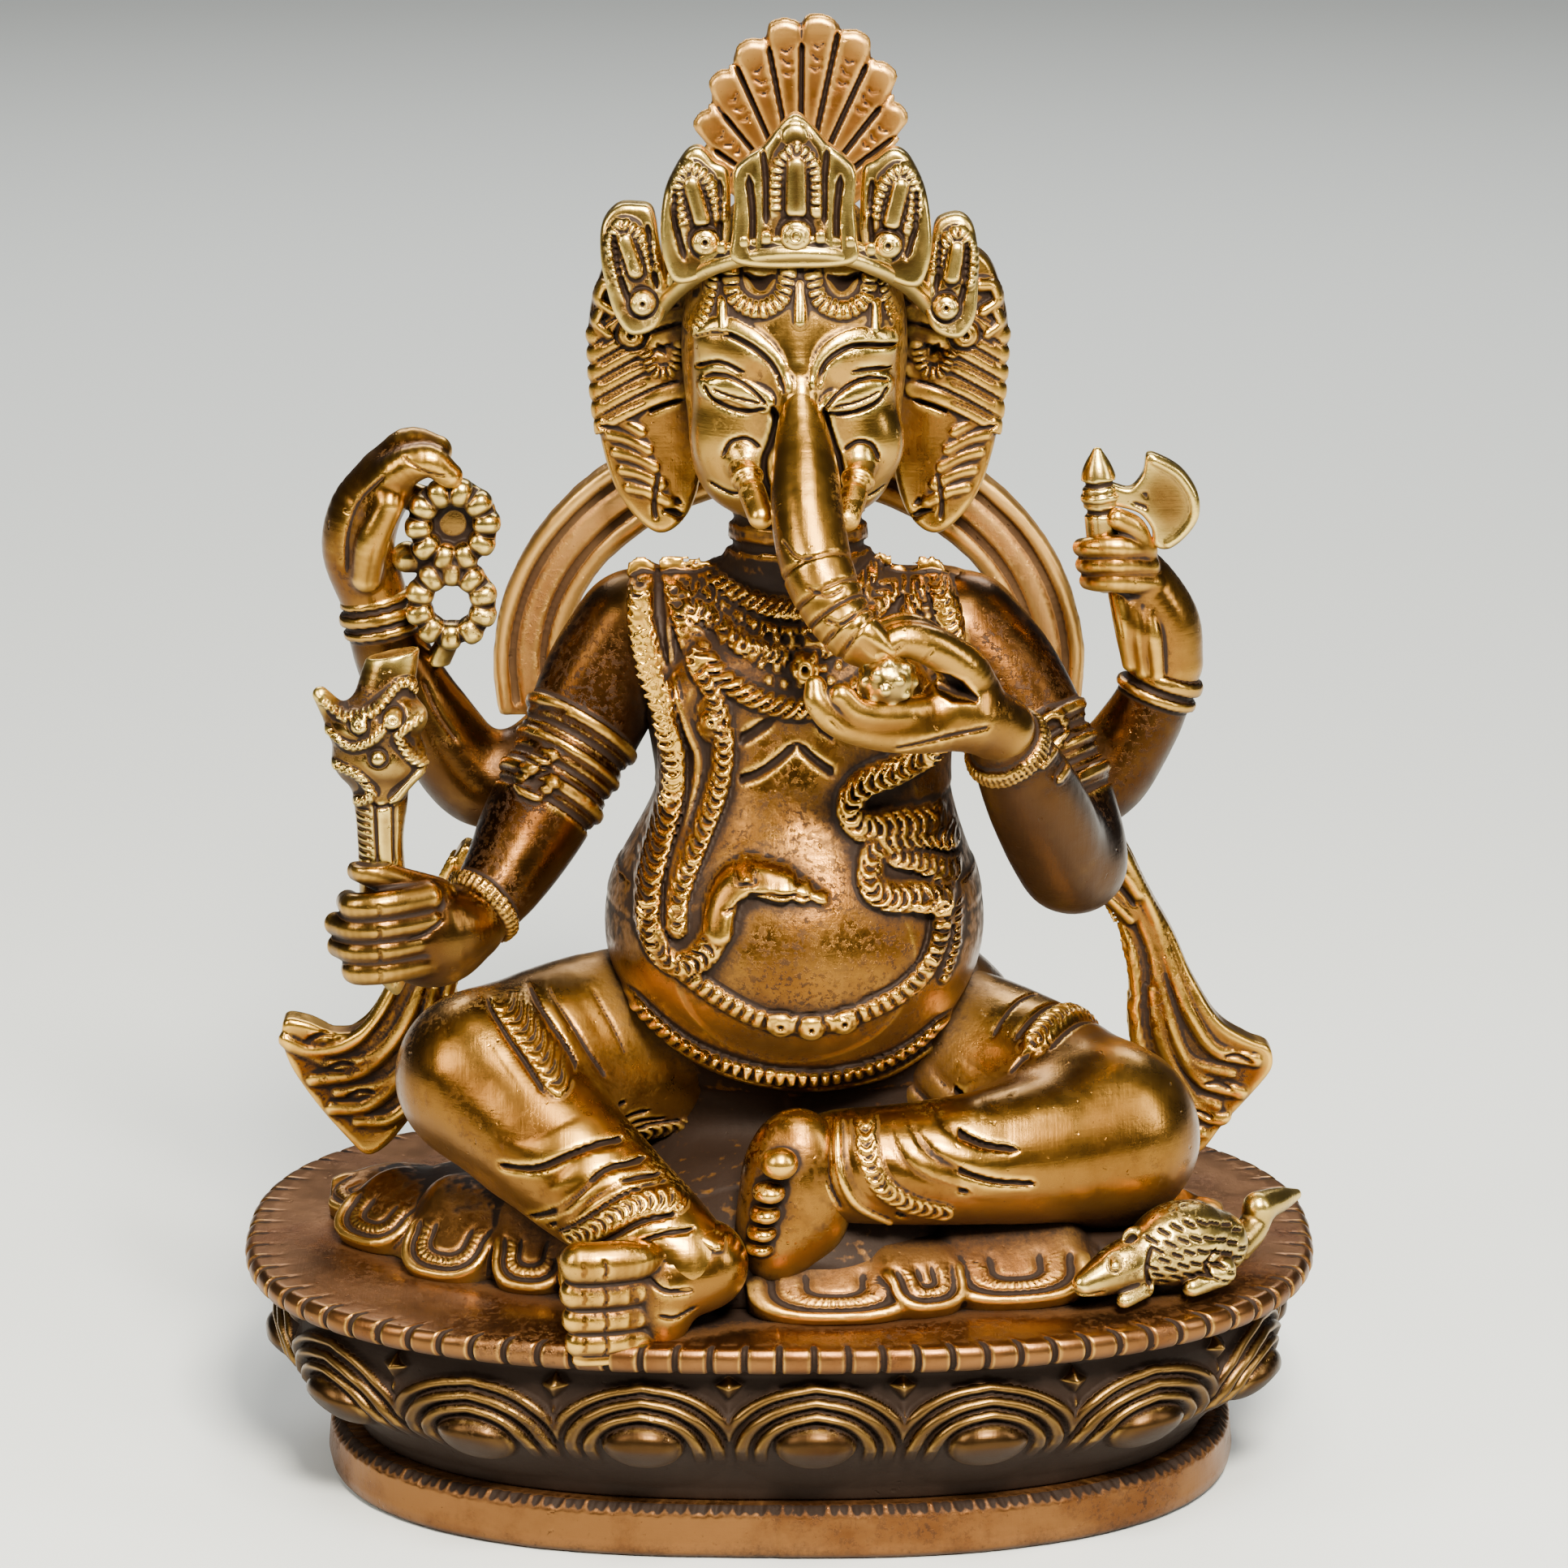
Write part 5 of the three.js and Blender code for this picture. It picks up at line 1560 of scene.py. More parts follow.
def head():
    clay = block_for(["head"], 5, FINE, extra=((-1, -1, -1), (1, 1, 4)))
    clay.add(blob((3, 2, 238), (22.2, 24, 31)))
    clay.add(blob((3, -2, 228), (21.2, 20.6, 24), power=3.8), blend=4)
    clay.add(blob((3.5, -5, 212), (16, 14.5, 11.5)), blend=5)
    clay.add(limb((3.2, -17.5, 245, 2.0), (3.5, -20.6, 237, 3.0), (4.2, -23.6, 229, 4.0),
            (4.7, -27.5, 222, 4.8)), blend=5)
    clay.add(limb((-12, -15.5, 240.5, 3.4), (-5, -18.6, 238.5, 3.2)), blend=4)
    clay.add(limb((18.6, -15.5, 239.5, 3.4), (11, -18.6, 237.5, 3.2)), blend=4)
    clay.add(blob((-9.5, -14.5, 220.5), (6.5, 5.4, 7)), blend=4)
    clay.add(blob((17.6, -14.5, 219.5), (6.5, 5.4, 7)), blend=4)
    for x in (-6.6, 15.4):
        clay.add(blob((x, -20.0, 216.8), (4.2, 4.0, 4.0)), blend=1.2)
    front = Relief(clay, "front")
    for brow in ([(-17.5, 240.6), (-11.5, 242.6), (-6.5, 241), (-2.8, 238.4), (-0.5, 235.4), (1, 231.6)],
                 [(7.4, 232.4), (8.6, 236.4), (11.2, 239), (15.5, 240.4), (23.5, 239.6)]):
        front.ridge([(x, z + 1.7) for x, z in brow], 1.7, 0.7)
        front.groove(brow, 0.75, 1.5)
    for crease in ([(-16.4, 235.2), (-12, 236.8), (-8, 235.4), (-4.2, 232.6), (-1.2, 228.8)],
                   [(8.2, 229.2), (10.6, 232.2), (14.4, 234.8), (18.5, 235.4), (23, 234.6)]):
        front.groove(crease, 0.55, 1.1)
    for middle, upper, lower, slit in (
            ([(-13.6, 231.6), (-10, 231.9), (-6.4, 230.8), (-3.4, 229.4)],
             [(-15.2, 233.2), (-12.4, 234.2), (-9, 233.8), (-5.4, 231.8), (-2.4, 228.8)],
             [(-15, 232.4), (-13.4, 229.8), (-10.4, 228.0), (-6.4, 227.2), (-2.4, 228.2)],
             [(-13.4, 231.6), (-10, 230.4), (-6.4, 229.6), (-3.4, 229)]),
            ([(10.4, 228.9), (13.6, 229.8), (17, 231), (20, 231.9)],
             [(8.6, 228.2), (11.6, 231), (15.4, 233.2), (19, 233.6), (21.8, 232.8)],
             [(8.6, 227.6), (12.4, 226.8), (16.4, 227.4), (19.6, 229), (21.6, 232)],
             [(10.4, 228.4), (14, 228.8), (17.2, 229.8), (20, 231)])):
        front.ridge(middle, 2.6, 1.1)
        front.groove(upper, 0.5, 1.2)
        front.groove(lower, 0.6, 1.3)
        front.groove(slit, 0.4, 0.9)
    front.groove([(-1.4, 228.6), (-0.6, 225.2), (-1.6, 221), (-3, 217), (-2.6, 212.5), (-0.5, 207.5)], 1.0,
            2.0)
    front.groove([(8.6, 228.8), (9.2, 225), (10.6, 220.6), (12, 216.5), (12, 211), (9.5, 205.5)], 1.0, 2.0)
    front.groove([(-11.2, 218), (-9.4, 221), (-6.2, 221.6), (-3.4, 219.6)], 0.5, 1.1)
    front.groove([(19.8, 217), (18.2, 220.2), (15.4, 221), (12.6, 219.2)], 0.5, 1.1)
    front.groove([(-14, 212), (-9.5, 210), (-6, 210.6)], 0.5, 0.7)
    front.groove([(21.5, 211), (17.6, 209), (14.8, 209.6)], 0.5, 0.7)
    # beaded swags under the crown with dark pockets inside them
    front.ridge([(-9.8, 254.5), (-8.8, 249.6), (-4.2, 247.4), (0.2, 249.6), (1.8, 254)], 1.8, 1.5, "cross",
            1.5, 0.75)
    front.ridge([(6.4, 254.4), (8, 249.4), (12.4, 247.2), (16.8, 248.9), (18.2, 253)], 1.8, 1.5, "cross",
            1.5, 0.75)
    front.ridge([(-13, 253), (-14.2, 248), (-16.2, 244.4), (-19, 242)], 1.4, 1.3, "cross", 1.4, 0.75)
    front.ridge([(20.6, 252), (22, 247), (24.4, 243.4)], 1.4, 1.3, "cross", 1.4, 0.75)
    front.ridge([(4, 252), (4.1, 248.8), (4.1, 245.4)], 1.2, 1.0)
    front.ridge([(-11.4, 248.4), (-11.2, 243.8)], 1.0, 1.0, smooth=False)
    front.ridge([(19.2, 248), (19, 243.4)], 1.0, 1.0, smooth=False)
    front.groove([(-6.4, 253.4), (-3.8, 252), (-1.2, 253.4)], 1.7, 2.4)
    front.groove([(9.8, 253.2), (12.5, 251.8), (15.2, 253)], 1.7, 2.4)
    front.groove([(-16, 249), (-17.6, 246.4)], 1.2, 1.6)
    front.groove([(24.4, 248.4), (25.6, 245.6)], 1.2, 1.6)
    front.press()

    # painted shade on the sides of the head beside the ears, under the crown and under the chin
    def painted_shade(v):
        side = soft_step(np.abs(v[:, 0] - 3), 19.5, 22.5)
        hair = soft_step(v[:, 2], 247, 251)
        chin = soft_step(-v[:, 2], -209, -203)
        return 0.07 * np.maximum(np.maximum(side, 0.8 * hair), chin)

    remember(clay)
    cast("head_casting", clay, FACE, "figure_casting", ["head"], rough=0.10, seed=71, painted_shade=painted_shade)


def trunk():
    clay = block_for(["trunk"], 5, FINE)
    way = [(4.1, -24.2, 230.5, 3.0), (4.4, -26.4, 225.5, 4.8), (5, -32, 217.5, 6.6), (5.6, -39.5, 209, 7.2),
           (7.4, -46, 201, 7.1), (10.6, -50.2, 194.5, 6.5), (14.4, -52.8, 189.6, 5.7),
           (18.2, -54, 187, 4.7)]
    clay.add(limb(*way, flat=((0, 0.8, 0.6), 1.08)))
    clay.soften(1.1)
    clay.add(limb((13.5, -55, 193, 3.4), (17.5, -56.4, 190.4, 3.0), (20.6, -56.2, 187.6, 2.2)), blend=2)
    clay.cut(limb((16.2, -60, 189.6, 0.9), (18.8, -59.6, 187.6, 1.1), (21.4, -58, 185.6, 1.0)), blend=0.8)
    line = smooth_line([k[:3] for k in way], 6)
    for k, cut in ((24, 0.3), (28, 0.4), (31, 0.45), (34, 0.4), (37, 0.4)):
        a, b = np.array(line[k]), np.array(line[min(k + 1, len(line) - 1)])
        ring_band(clay, tuple(a), tuple((b - a) / np.linalg.norm(b - a)), 10, 0.55, -cut)
    front = Relief(clay, "front")
    front.groove([(0.5, 207), (3.5, 204.5), (6.5, 204.8)], 0.45, 0.5)
    front.groove([(5.0, 199.5), (9, 198), (12.6, 199.4)], 0.45, 0.5)
    front.groove([(8.6, 193.6), (12, 193.2), (15, 195)], 0.45, 0.5)
    front.press()
    remember(clay)
    cast("trunk_casting", clay, FIGURE, "figure_casting", ["trunk"], rough=0.14, seed=73)
    for side, name, start, end in ((-1, "right", (-7.2, -21.5, 216.0, 3.0), (-3.6, -33, 208.4, 2.5)),
                                   (1, "left", (16.2, -21.5, 215.6, 3.0), (13.4, -33, 208.0, 2.5))):
        clay = block_for([name + "_tusk_stump"], 4, FINE)
        clay.add(straight(start, end))
        aim = np.array(end[:3]) - np.array(start[:3])
        aim = aim / np.linalg.norm(aim)
        for along, height in ((3.4, 0.5), (6.0, -0.5)):
            ring_band(clay, tuple(np.array(start[:3]) + aim * along), tuple(aim), 5.5, 0.8, height)
        remember(clay)
        cast(name + "_tusk_stump_casting", clay, FIGURE, "figure_casting", [name + "_tusk_stump"],
                rough=0.1, seed=75 + side)


def ears():
    """Fan-shaped ears with a feathered front, a rolled rim and a grooved lower lobe."""
    right = [(-17.5, 251), (-22, 253), (-29.5, 254.5), (-34.5, 251.5), (-37.2, 245), (-38.6, 238),
            (-38.2, 230),
             (-37.4, 222), (-36, 213), (-33.5, 205), (-29.5, 199), (-25, 195.6), (-21, 196.6),
             (-17.5, 201.5), (-15, 212), (-14, 228)]
    for side, name in ((-1, "right"), (1, "left")):
        def put(x):
            return x if side < 0 else 7.6 - x
        clay = block_for([name + "_ear"], 4, FINE)
        outline = [(put(x), z) for x, z in right]
        centre = put(-25)
        clay.add(slab(outline, 7.2, 14.8, edge=1.4, bend=lambda u,
                v: 0.045 * np.abs(u - centre) ** 1.7 - 1.2))
        front = Relief(clay, "front")
        for k in range(6):  # feathers of the upper half fall outward
            z = 243.5 - 3.9 * k
            line = [(put(-19.5), z + 1.5), (put(-25), z - 0.2), (put(-31), z - 3.4), (put(-37.6), z - 7.6)]
            front.ridge(line, 2.0, 1.3, flat=0.3)
            front.groove([(x, v - 2.1) for x, v in line], 0.75, 2.0)
            front.groove([(put(-27), z - 0.6), (put(-31.5), z - 2.6), (put(-36), z - 5.4)], 0.32, 0.6)
        for k in range(5):  # those of the lower half fall inward
            z = 217 - 3.6 * k
            reach = -36.4 + 1.35 * k
            front.groove([(put(reach), z + 0.6), (put(reach + 4), z - 0.2), (put(reach + 8.2), z - 1.8),
                    (put(reach + 12.5), z - 4.6)], 0.8, 1.9)
            front.ridge([(put(reach + 0.6), z + 2.4), (put(reach + 4.4), z + 1.6),
                    (put(reach + 8.4), z - 0.4)], 1.3, 0.7)
        front.groove([(put(-24.5), 208), (put(-25.4), 202), (put(-25), 198.4)], 0.6, 1.0)
        # scroll, boss and beaded swag beside the crown
        front.ridge([(put(-33.6), 241.4), (put(-36.4), 243.4), (put(-35.6), 246.4), (put(-32.8), 246.8)],
                1.3, 2.0)
        front.ridge([(put(-34.4), 236.6), (put(-37), 238.6), (put(-36.2), 241.2)], 1.2, 1.8)
        front.dome((put(-29.8), 237), 2.9, 3.0, dot=0.9, ring=1.8)
        front.ridge([(put(-27), 233.6), (put(-25), 229.6), (put(-21.6), 229.8), (put(-20), 234.6)], 1.7,
                2.6, "cross", 1.4, 0.75)
        front.groove([(put(-24.4), 235), (put(-22.8), 233)], 1.2, 1.8)
        front.press()
        rear = Relief(clay, "back")
        for k in range(6):
            z = 246 - 7.5 * k
            rear.groove([(put(-35), z - 3), (put(-29), z - 0.5), (put(-23), z + 4)], 0.7, 0.5)
        rear.press()
        remember(clay)
        # painted shade on the inner part of each ear, next to the head
        cast(name + "_ear_casting", clay, FIGURE, "figure_casting", [name + "_ear"], rough=0.14,
                seed=78 + side,
             painted_shade=lambda v: 0.05 * soft_step(-np.abs(v[:, 0] - 3.5), -24, -19))


# ---------------------------------------------------------------- crown

def crown_band():
    clay = block_for(["crown_band"], 5, FINE)
    rows = [(-24.5, -1, 242.4), (-20.6, -7, 248.2), (-14, -14.5, 254.2), (-5.5, -19.2, 257.6),
            (3.5, -20.4, 258.6),
            (12.5, -19.2, 257.6), (20.4, -14.5, 253.8), (26.6, -7, 248.4), (31, -1, 242.6)]
    line = smooth_line(rows, 6)
    clay.add(limb(*[(x, y, z, 1.7) for x, y, z in rows]))
    clay.add(straight(*[(x, y + 0.6, z + 2.3, 1.35) for x, y, z in line]), blend=0.3)
    for k in (5, 9, 14, 17, 20, 24, 27, 31, 34, 39, 43):
        x, y, z = line[k]
        clay.add(blob((x, y - 1.0, z + 3.5), (1.0, 1.2, 1.3), power=4), blend=0.3)
    remember(clay)
    cast("crown_band_casting", clay, ORNAMENT, "ornament_casting", ["crown_band"], rough=0.1, seed=81)


def leaf_tip(name, outline, depth, lean, cabochon, boss, grooves, seed, lobes=()):
    """A crown leaf: lobed plate, long cabochon in a corded frame, round boss below."""
    clay = block_for([name], 5, FINE)
    low = min(z for x, z in outline)
    clay.add(slab(outline, depth - 2.6, depth + 3.2, edge=1.2, bend=lambda u, v: lean * (v - low)))
    front = Relief(clay, "front")
    for (x, z), radius, height in lobes:
        front.dome((x, z), radius, height)
    (ax, az), (bx, bz), width = cabochon
    aim = np.array((bx - ax, bz - az))
    length = np.linalg.norm(aim)
    aim = aim / length
    across = np.array((aim[1], -aim[0]))
    low_end, high_end = np.array((ax, az)), np.array((bx, bz))
    side = across * (width + 1.7)
    frame = [low_end - side, low_end - side + aim * length * 0.5, high_end - side * 0.75,
            high_end + aim * 2.6,
             high_end + side * 0.75, low_end + side + aim * length * 0.5, low_end + side]
    front.ridge([tuple(p) for p in frame], 1.5, 1.6, "cross", 1.45, 0.7)
    inner = [np.array((ax, az)) + aim * t for t in np.linspace(0.6, length - 0.6, 4)]
    front.ridge([tuple(p) for p in inner], width, 1.9, flat=0.3)
    for line, half, cut in grooves:
        front.groove(line, half * 1.25, cut * 1.8)
    front.dome(boss[0], boss[1] * 1.08, 2.6, dot=boss[1] * 0.3, ring=boss[1] * 0.62)
    front.press()
    rear = Relief(clay, "back")
    rear.groove([tuple(np.array((ax, az))), tuple(np.array((bx, bz)))], 1.2, 0.7)
    rear.press()
    remember(clay)
    cast(name + "_casting", clay, ORNAMENT, "ornament_casting", [name], rough=0.1, seed=seed)


def crown_leaves():
    leaf_tip("crown_leaf_centre",
             [(-8.6, 256.4), (-9.2, 262), (-8.8, 268), (-9, 274), (-6.4, 277), (-3, 279.2), (-0.6, 282.2),
             (3, 285.4),
              (6.4, 283), (9.2, 279.8), (12.6, 277.2), (15, 274), (14.8, 268), (15.2, 262), (14.6, 256.4),
              (3, 255.4)],
             -18.5, 0.10, ((3.3, 266.8), (3.3, 276.2), 2.3), ((3.2, 262.2), 3.0),
             [([(-6, 273.5), (-5.2, 266), (-5.4, 258)], 0.7, 1.0),
             ([(-3.3, 279), (-2.6, 272), (-2.6, 264)], 0.6, 0.8),
              ([(12, 273.5), (11.2, 266), (11.4, 258)], 0.7, 1.0), ([(9.4, 279), (8.8, 272), (8.8, 264)],
              0.6, 0.8)],
             83, [((3.1, 281.0), 2.6, 0.7)])
    leaf_tip("crown_leaf_inner_right",
             [(-20.8, 251.5), (-23, 257), (-23.4, 263), (-22.6, 269), (-20.6, 273.4), (-18, 277),
             (-15.4, 277.6), (-12.8, 275),
              (-10, 273.2), (-9.6, 266), (-10, 259.4), (-12.4, 254.6), (-16.6, 251.6)],
             -12.2, 0.13, ((-15.2, 263.6), (-17.4, 271.4), 1.9), ((-14.6, 259.6), 2.6),
             [([(-20.6, 270), (-20.4, 263), (-18.6, 256)], 0.6, 0.9),
             ([(-11.8, 271.6), (-11.6, 264), (-12, 258)], 0.6, 0.9)],
             84, [])
    leaf_tip("crown_leaf_inner_left",
             [(27.6, 250.6), (29.8, 256), (30, 262), (29, 268.6), (27, 273.4), (24.8, 276.6), (22, 277.4),
             (19, 275.4),
              (16.4, 273.4), (16, 266), (16.2, 259.4), (18.8, 254.4), (23, 251.2)],
             -12.2, 0.13, ((22, 263), (24, 271), 1.9), ((21.4, 259.0), 2.6),
             [([(27, 270), (26.8, 263), (25, 256)], 0.6, 0.9), ([(18.2, 271.6), (18, 264), (18.4, 258)],
             0.6, 0.9)],
             85, [])
    leaf_tip("crown_leaf_outer_right",
             [(-24.6, 240.4), (-29.5, 239), (-32.6, 242.6), (-34.4, 248), (-35.6, 254), (-35.4, 260.6),
             (-32.4, 264.4), (-28.6, 264.8),
              (-25.2, 263.6), (-23.8, 257), (-22.6, 251), (-22.4, 245)],
             -3.6, 0.16, ((-28.4, 251.5), (-30.8, 258.4), 1.8), ((-27.2, 245.6), 2.4),
             [([(-33, 259), (-32, 252), (-30, 245.6)], 0.6, 0.9),
             ([(-26.2, 261), (-25.4, 254), (-24.2, 248)], 0.6, 0.9)],
             86, [])
    leaf_tip("crown_leaf_outer_left",
             [(31.4, 239.4), (36, 238.4), (38.8, 242), (39.6, 247.6), (39.6, 253.6), (38.8, 259.8),
             (36.4, 262.6), (33, 262.4),
              (30.8, 260.4), (30, 254), (29.2, 248.4), (29.2, 243)],
             -3.6, 0.16, ((34.2, 250.4), (35.4, 256.8), 1.8), ((33.2, 244.8), 2.4),
             [([(37.4, 257.6), (37.2, 251), (36, 245)], 0.6, 0.9),
             ([(32, 258.6), (31.6, 252.6), (31.2, 247.4)], 0.6, 0.9)],
             87, [])


def crest_fan():
    """Scalloped fan of lobes standing behind the crown."""
    clay = block_for(["crest_fan"], 5, FINE)
    tips = [(-64, 21), (-47, 27), (-31, 31.2), (-17, 34.6), (-5, 37.4), (6, 38.4), (18, 36.6), (31, 33.0),
            (45, 28.2), (60, 22)]
    root = np.array((4.2, 261.5))
    outline = [(-3.5, 260.5)]
    for k, (angle, reach) in enumerate(tips):
        if k:
            before = tips[k - 1]
            m = math.radians((angle + before[0]) / 2)
            dip = (reach + before[1]) / 2 - (0.9 if k % 3 else 0.2)
            outline.append((root[0] + dip * math.sin(m), root[1] + dip * math.cos(m)))
        for shift, drop in ((-4.4, 0.6), (0, 0), (4.4, 0.7)):
            s = math.radians(angle + shift)
            outline.append((root[0] + (reach - drop) * math.sin(s), root[1] + (reach - drop) * math.cos(s)))
    outline.append((12.5, 260.5))
    clay.add(slab(outline, 11.9, 17.0, edge=0.9))
    for side in ("front", "back"):
        face = Relief(clay, side)
        for k, (angle, reach) in enumerate(tips):
            way = np.array((math.sin(math.radians(angle)), math.cos(math.radians(angle))))
            face.ridge([tuple(root + way * t) for t in (8, reach * 0.7, reach + 0.5)], 3.3, 0.7, flat=1.2)
        for k, (angle, reach) in enumerate(tips):
            way = np.array((math.sin(math.radians(angle)), math.cos(math.radians(angle))))
            if k:
                m = math.radians((angle + tips[k - 1][0]) / 2)
                cut = np.array((math.sin(m), math.cos(m)))
                short = 1.2 + 1.6 * (k % 3)
                face.groove([tuple(root + cut * t) for t in (5, 14, (reach + tips[k - 1][1]) / 2 - short)],
                        0.62, 1.9)
            for back, lean in ((5.0, 0.5), (7.4, -0.3), (9.6, 0.4)):
                tip = root + way * (reach - back)
                across = np.array((way[1], -way[0]))
                face.groove([tuple(tip + across * 1.5 + way * lean), tuple(tip - way * 0.7),
                             tuple(tip - across * 1.3 + way * (0.6 - lean))], 0.28, 0.5, smooth=False)
        face.press()
    remember(clay)
    cast("crest_fan_casting", clay, CREST, "ornament_casting", ["crest_fan"], rough=0.16, seed=89)


head()
trunk()
ears()
crown_band()
crown_leaves()
crest_fan()


# ---------------------------------------------------------------- scarf, seat cloth and mouse

def scarf_arch():
    """The scarf's arch behind the shoulders, with two lengthwise folds."""
    clay = block_for(["scarf_arch"], 4)
    centre = np.array((2.0, 163.0))
    outer, inner, ends = (61.5, 54.0), (46.5, 38.0), (-16.0, 196.0)
    angles = np.radians(np.linspace(ends[0], ends[1], 33))
    rim = [(centre[0] + outer[0] * math.cos(a), centre[1] + outer[1] * math.sin(a)) for a in angles]
    hem = [(centre[0] + inner[0] * math.cos(a), centre[1] + inner[1] * math.sin(a)) for a in angles[::-1]]
    clay.add(slab(rim + hem, 22.4, 28.2, edge=1.2, smooth=False))
    for side in ("front", "back"):
        face = Relief(clay, side)
        for share, half, height in ((0.14, 1.7, 0.9), (0.88, 1.6, 0.8), (0.5, 2.2, 0.5)):
            line = [tuple(centre + (np.array(inner) + (np.array(outer) - np.array(inner)) * share)
                          * np.array((math.cos(a), math.sin(a)))) for a in angles[1:-1:2]]
            face.ridge(line, half, height)
        for share in (0.28, 0.34, 0.70, 0.76):
            line = [tuple(centre + (np.array(inner) + (np.array(outer) - np.array(inner)) * share)
                          * np.array((math.cos(a), math.sin(a)))) for a in angles[1:-1:2]]
            face.groove(line, 0.7, 0.7)
        face.press()
    remember(clay)
    cast("scarf_arch_casting", clay, ARCH_LIT, "cloth_casting", ["scarf_arch"], rough=0.2, seed=91)


def scarf_tails():
    """Hanging ends: folds along their length, scrolled and cut across at the corners."""
    left = [(65, 134), (71, 129), (76.5, 119), (82, 109), (86.5, 99), (92, 90.5), (98, 86.5),
            (102.5, 84.5), (103.2, 79.5),
            (99, 73.5), (93.5, 67), (88.5, 61), (84, 61.5), (80.5, 68.5), (76, 78), (73.5, 88), (73.5, 99),
            (71.5, 110), (66, 119), (62, 124)]
    right = [(-65, 129), (-71, 118), (-76.5, 107), (-81.5, 97), (-86.5, 89.5), (-92.5, 87.8),
            (-98.5, 90.2), (-103.4, 90.5), (-103.6, 84.5),
             (-101, 77.5), (-96.5, 70.5), (-91, 64), (-87, 60.4), (-83, 62), (-77.5, 68.5), (-72, 77),
             (-68.5, 88), (-66.8, 102), (-62, 114), (-59.5, 121)]
    folds = {
        "scarf_tail_left": [[(67.5, 128), (74, 114), (78.5, 102), (83, 91), (88.5, 83), (97, 80.5)],
                            [(66, 123), (74.5, 107), (77, 96), (80.5, 84), (86, 76), (94, 73)],
                            [(75.5, 96), (77, 86), (81, 76), (86.5, 68.5), (91, 67)]],
        "scarf_tail_right": [[(-66, 124), (-71, 112), (-76, 101), (-81, 91.5), (-87, 84.5), (-95, 82.5),
        (-101, 85)],
                             [(-63.5, 119), (-69, 104), (-73.5, 93), (-79, 83.5), (-86, 77.5), (-95, 76)],
                             [(-69.5, 96), (-71.5, 86), (-77, 76.5), (-84, 70), (-91, 69.5)]],
    }
    for name, outline, side_sign in (("scarf_tail_left", left, 1), ("scarf_tail_right", right, -1)):
        clay = block_for([name], 4)
        clay.add(slab(outline, 8.6, 15.6, edge=1.3, bend=lambda u, v: 1.0 * np.sin((v - 60) * 0.16)))
        for side in ("front", "back"):
            face = Relief(clay, side)
            for k, line in enumerate(folds[name]):
                face.groove(line, 1.1, 1.7)
                shifted = [(x + side_sign * 2.6, z + 1.2) for x, z in line]
                face.ridge(shifted, 1.6, 1.0)
                lower = [(x - side_sign * 2.4, z - 1.6) for x, z in line]
                face.ridge(lower, 1.4, 0.8)
            for k in range(3):
                x, z = side_sign * (99.0 - 4.0 * k), (81.5 if side_sign > 0 else 86) - 6.4 * k
                face.groove([(x, z), (x - side_sign * 3.4, z + 1.6), (x - side_sign * 6.4, z + 1.2)], 0.6,
                        1.1)
            if side_sign > 0:
                face.ridge([(66, 125), (71, 123), (74.5, 118)], 1.6, 1.6)
                face.ridge([(65, 120), (69, 116.5), (73, 112.5)], 1.5, 1.4)
                face.groove([(65.5, 122.6), (70.4, 119.8), (74, 115.2)], 0.7, 1.4)
            else:
                face.ridge([(-62, 121), (-66.5, 118), (-71, 111)], 1.5, 1.4)
            face.press()
        remember(clay)
        cast(name + "_casting", clay, FIGURE, "cloth_casting", [name], rough=0.2, seed=95 + side_sign)


HEM = [  # x, y, z of each hem tongue's middle, half length, half depth, turn about Z, tilt, highest z behind
    (-89, 3, 54.6, 9, 6.5, -62, 24, 57), (-82.5, -13, 55.4, 10, 8.5, -42, 34, 61),
    (-67, -30, 56.0, 10, 9.5, -26, 38, 66),
    (-50, -38, 55.8, 8, 8.5, -12, 40, 66), (-37, -44, 54.6, 7.5, 7.5, -4, 36, 63),
    (11, -53.5, 55.0, 17.5, 8.5, 2, 36, 62), (29.5, -52.5, 55.6, 8, 7.0, 18, 38, 62),
    (47.5, -46.5, 56.2, 15.5, 8.5, 10, 38, 65),
    (68, -36, 54.8, 11, 7.5, 28, 32, 62), (84, -14, 54.4, 12, 7.5, 56, 26, 58),
]


def tongue_place(x, y, z, tongue):
    """Where points lie on a hem tongue: along it, down its slope, above it, and outside its outline."""
    cx, cy, cz, along, deep, turn, tilt, _ = tongue
    a, t = math.radians(turn), math.radians(tilt)
    u = (x - cx) * math.cos(a) + (y - cy) * math.sin(a)
    forth = (x - cx) * math.sin(a) - (y - cy) * math.cos(a)
    v = forth * math.cos(t) - (z - cz) * math.sin(t)
    w = forth * math.sin(t) + (z - cz) * math.cos(t)
    side = np.abs(u) / (along + 0.25 * np.maximum(-v, 0))
    edge = ((side**2.6 + (np.maximum(v, 0) / deep) ** 2.6) ** (1 / 2.6) - 1) * deep
    return u, v, w, edge


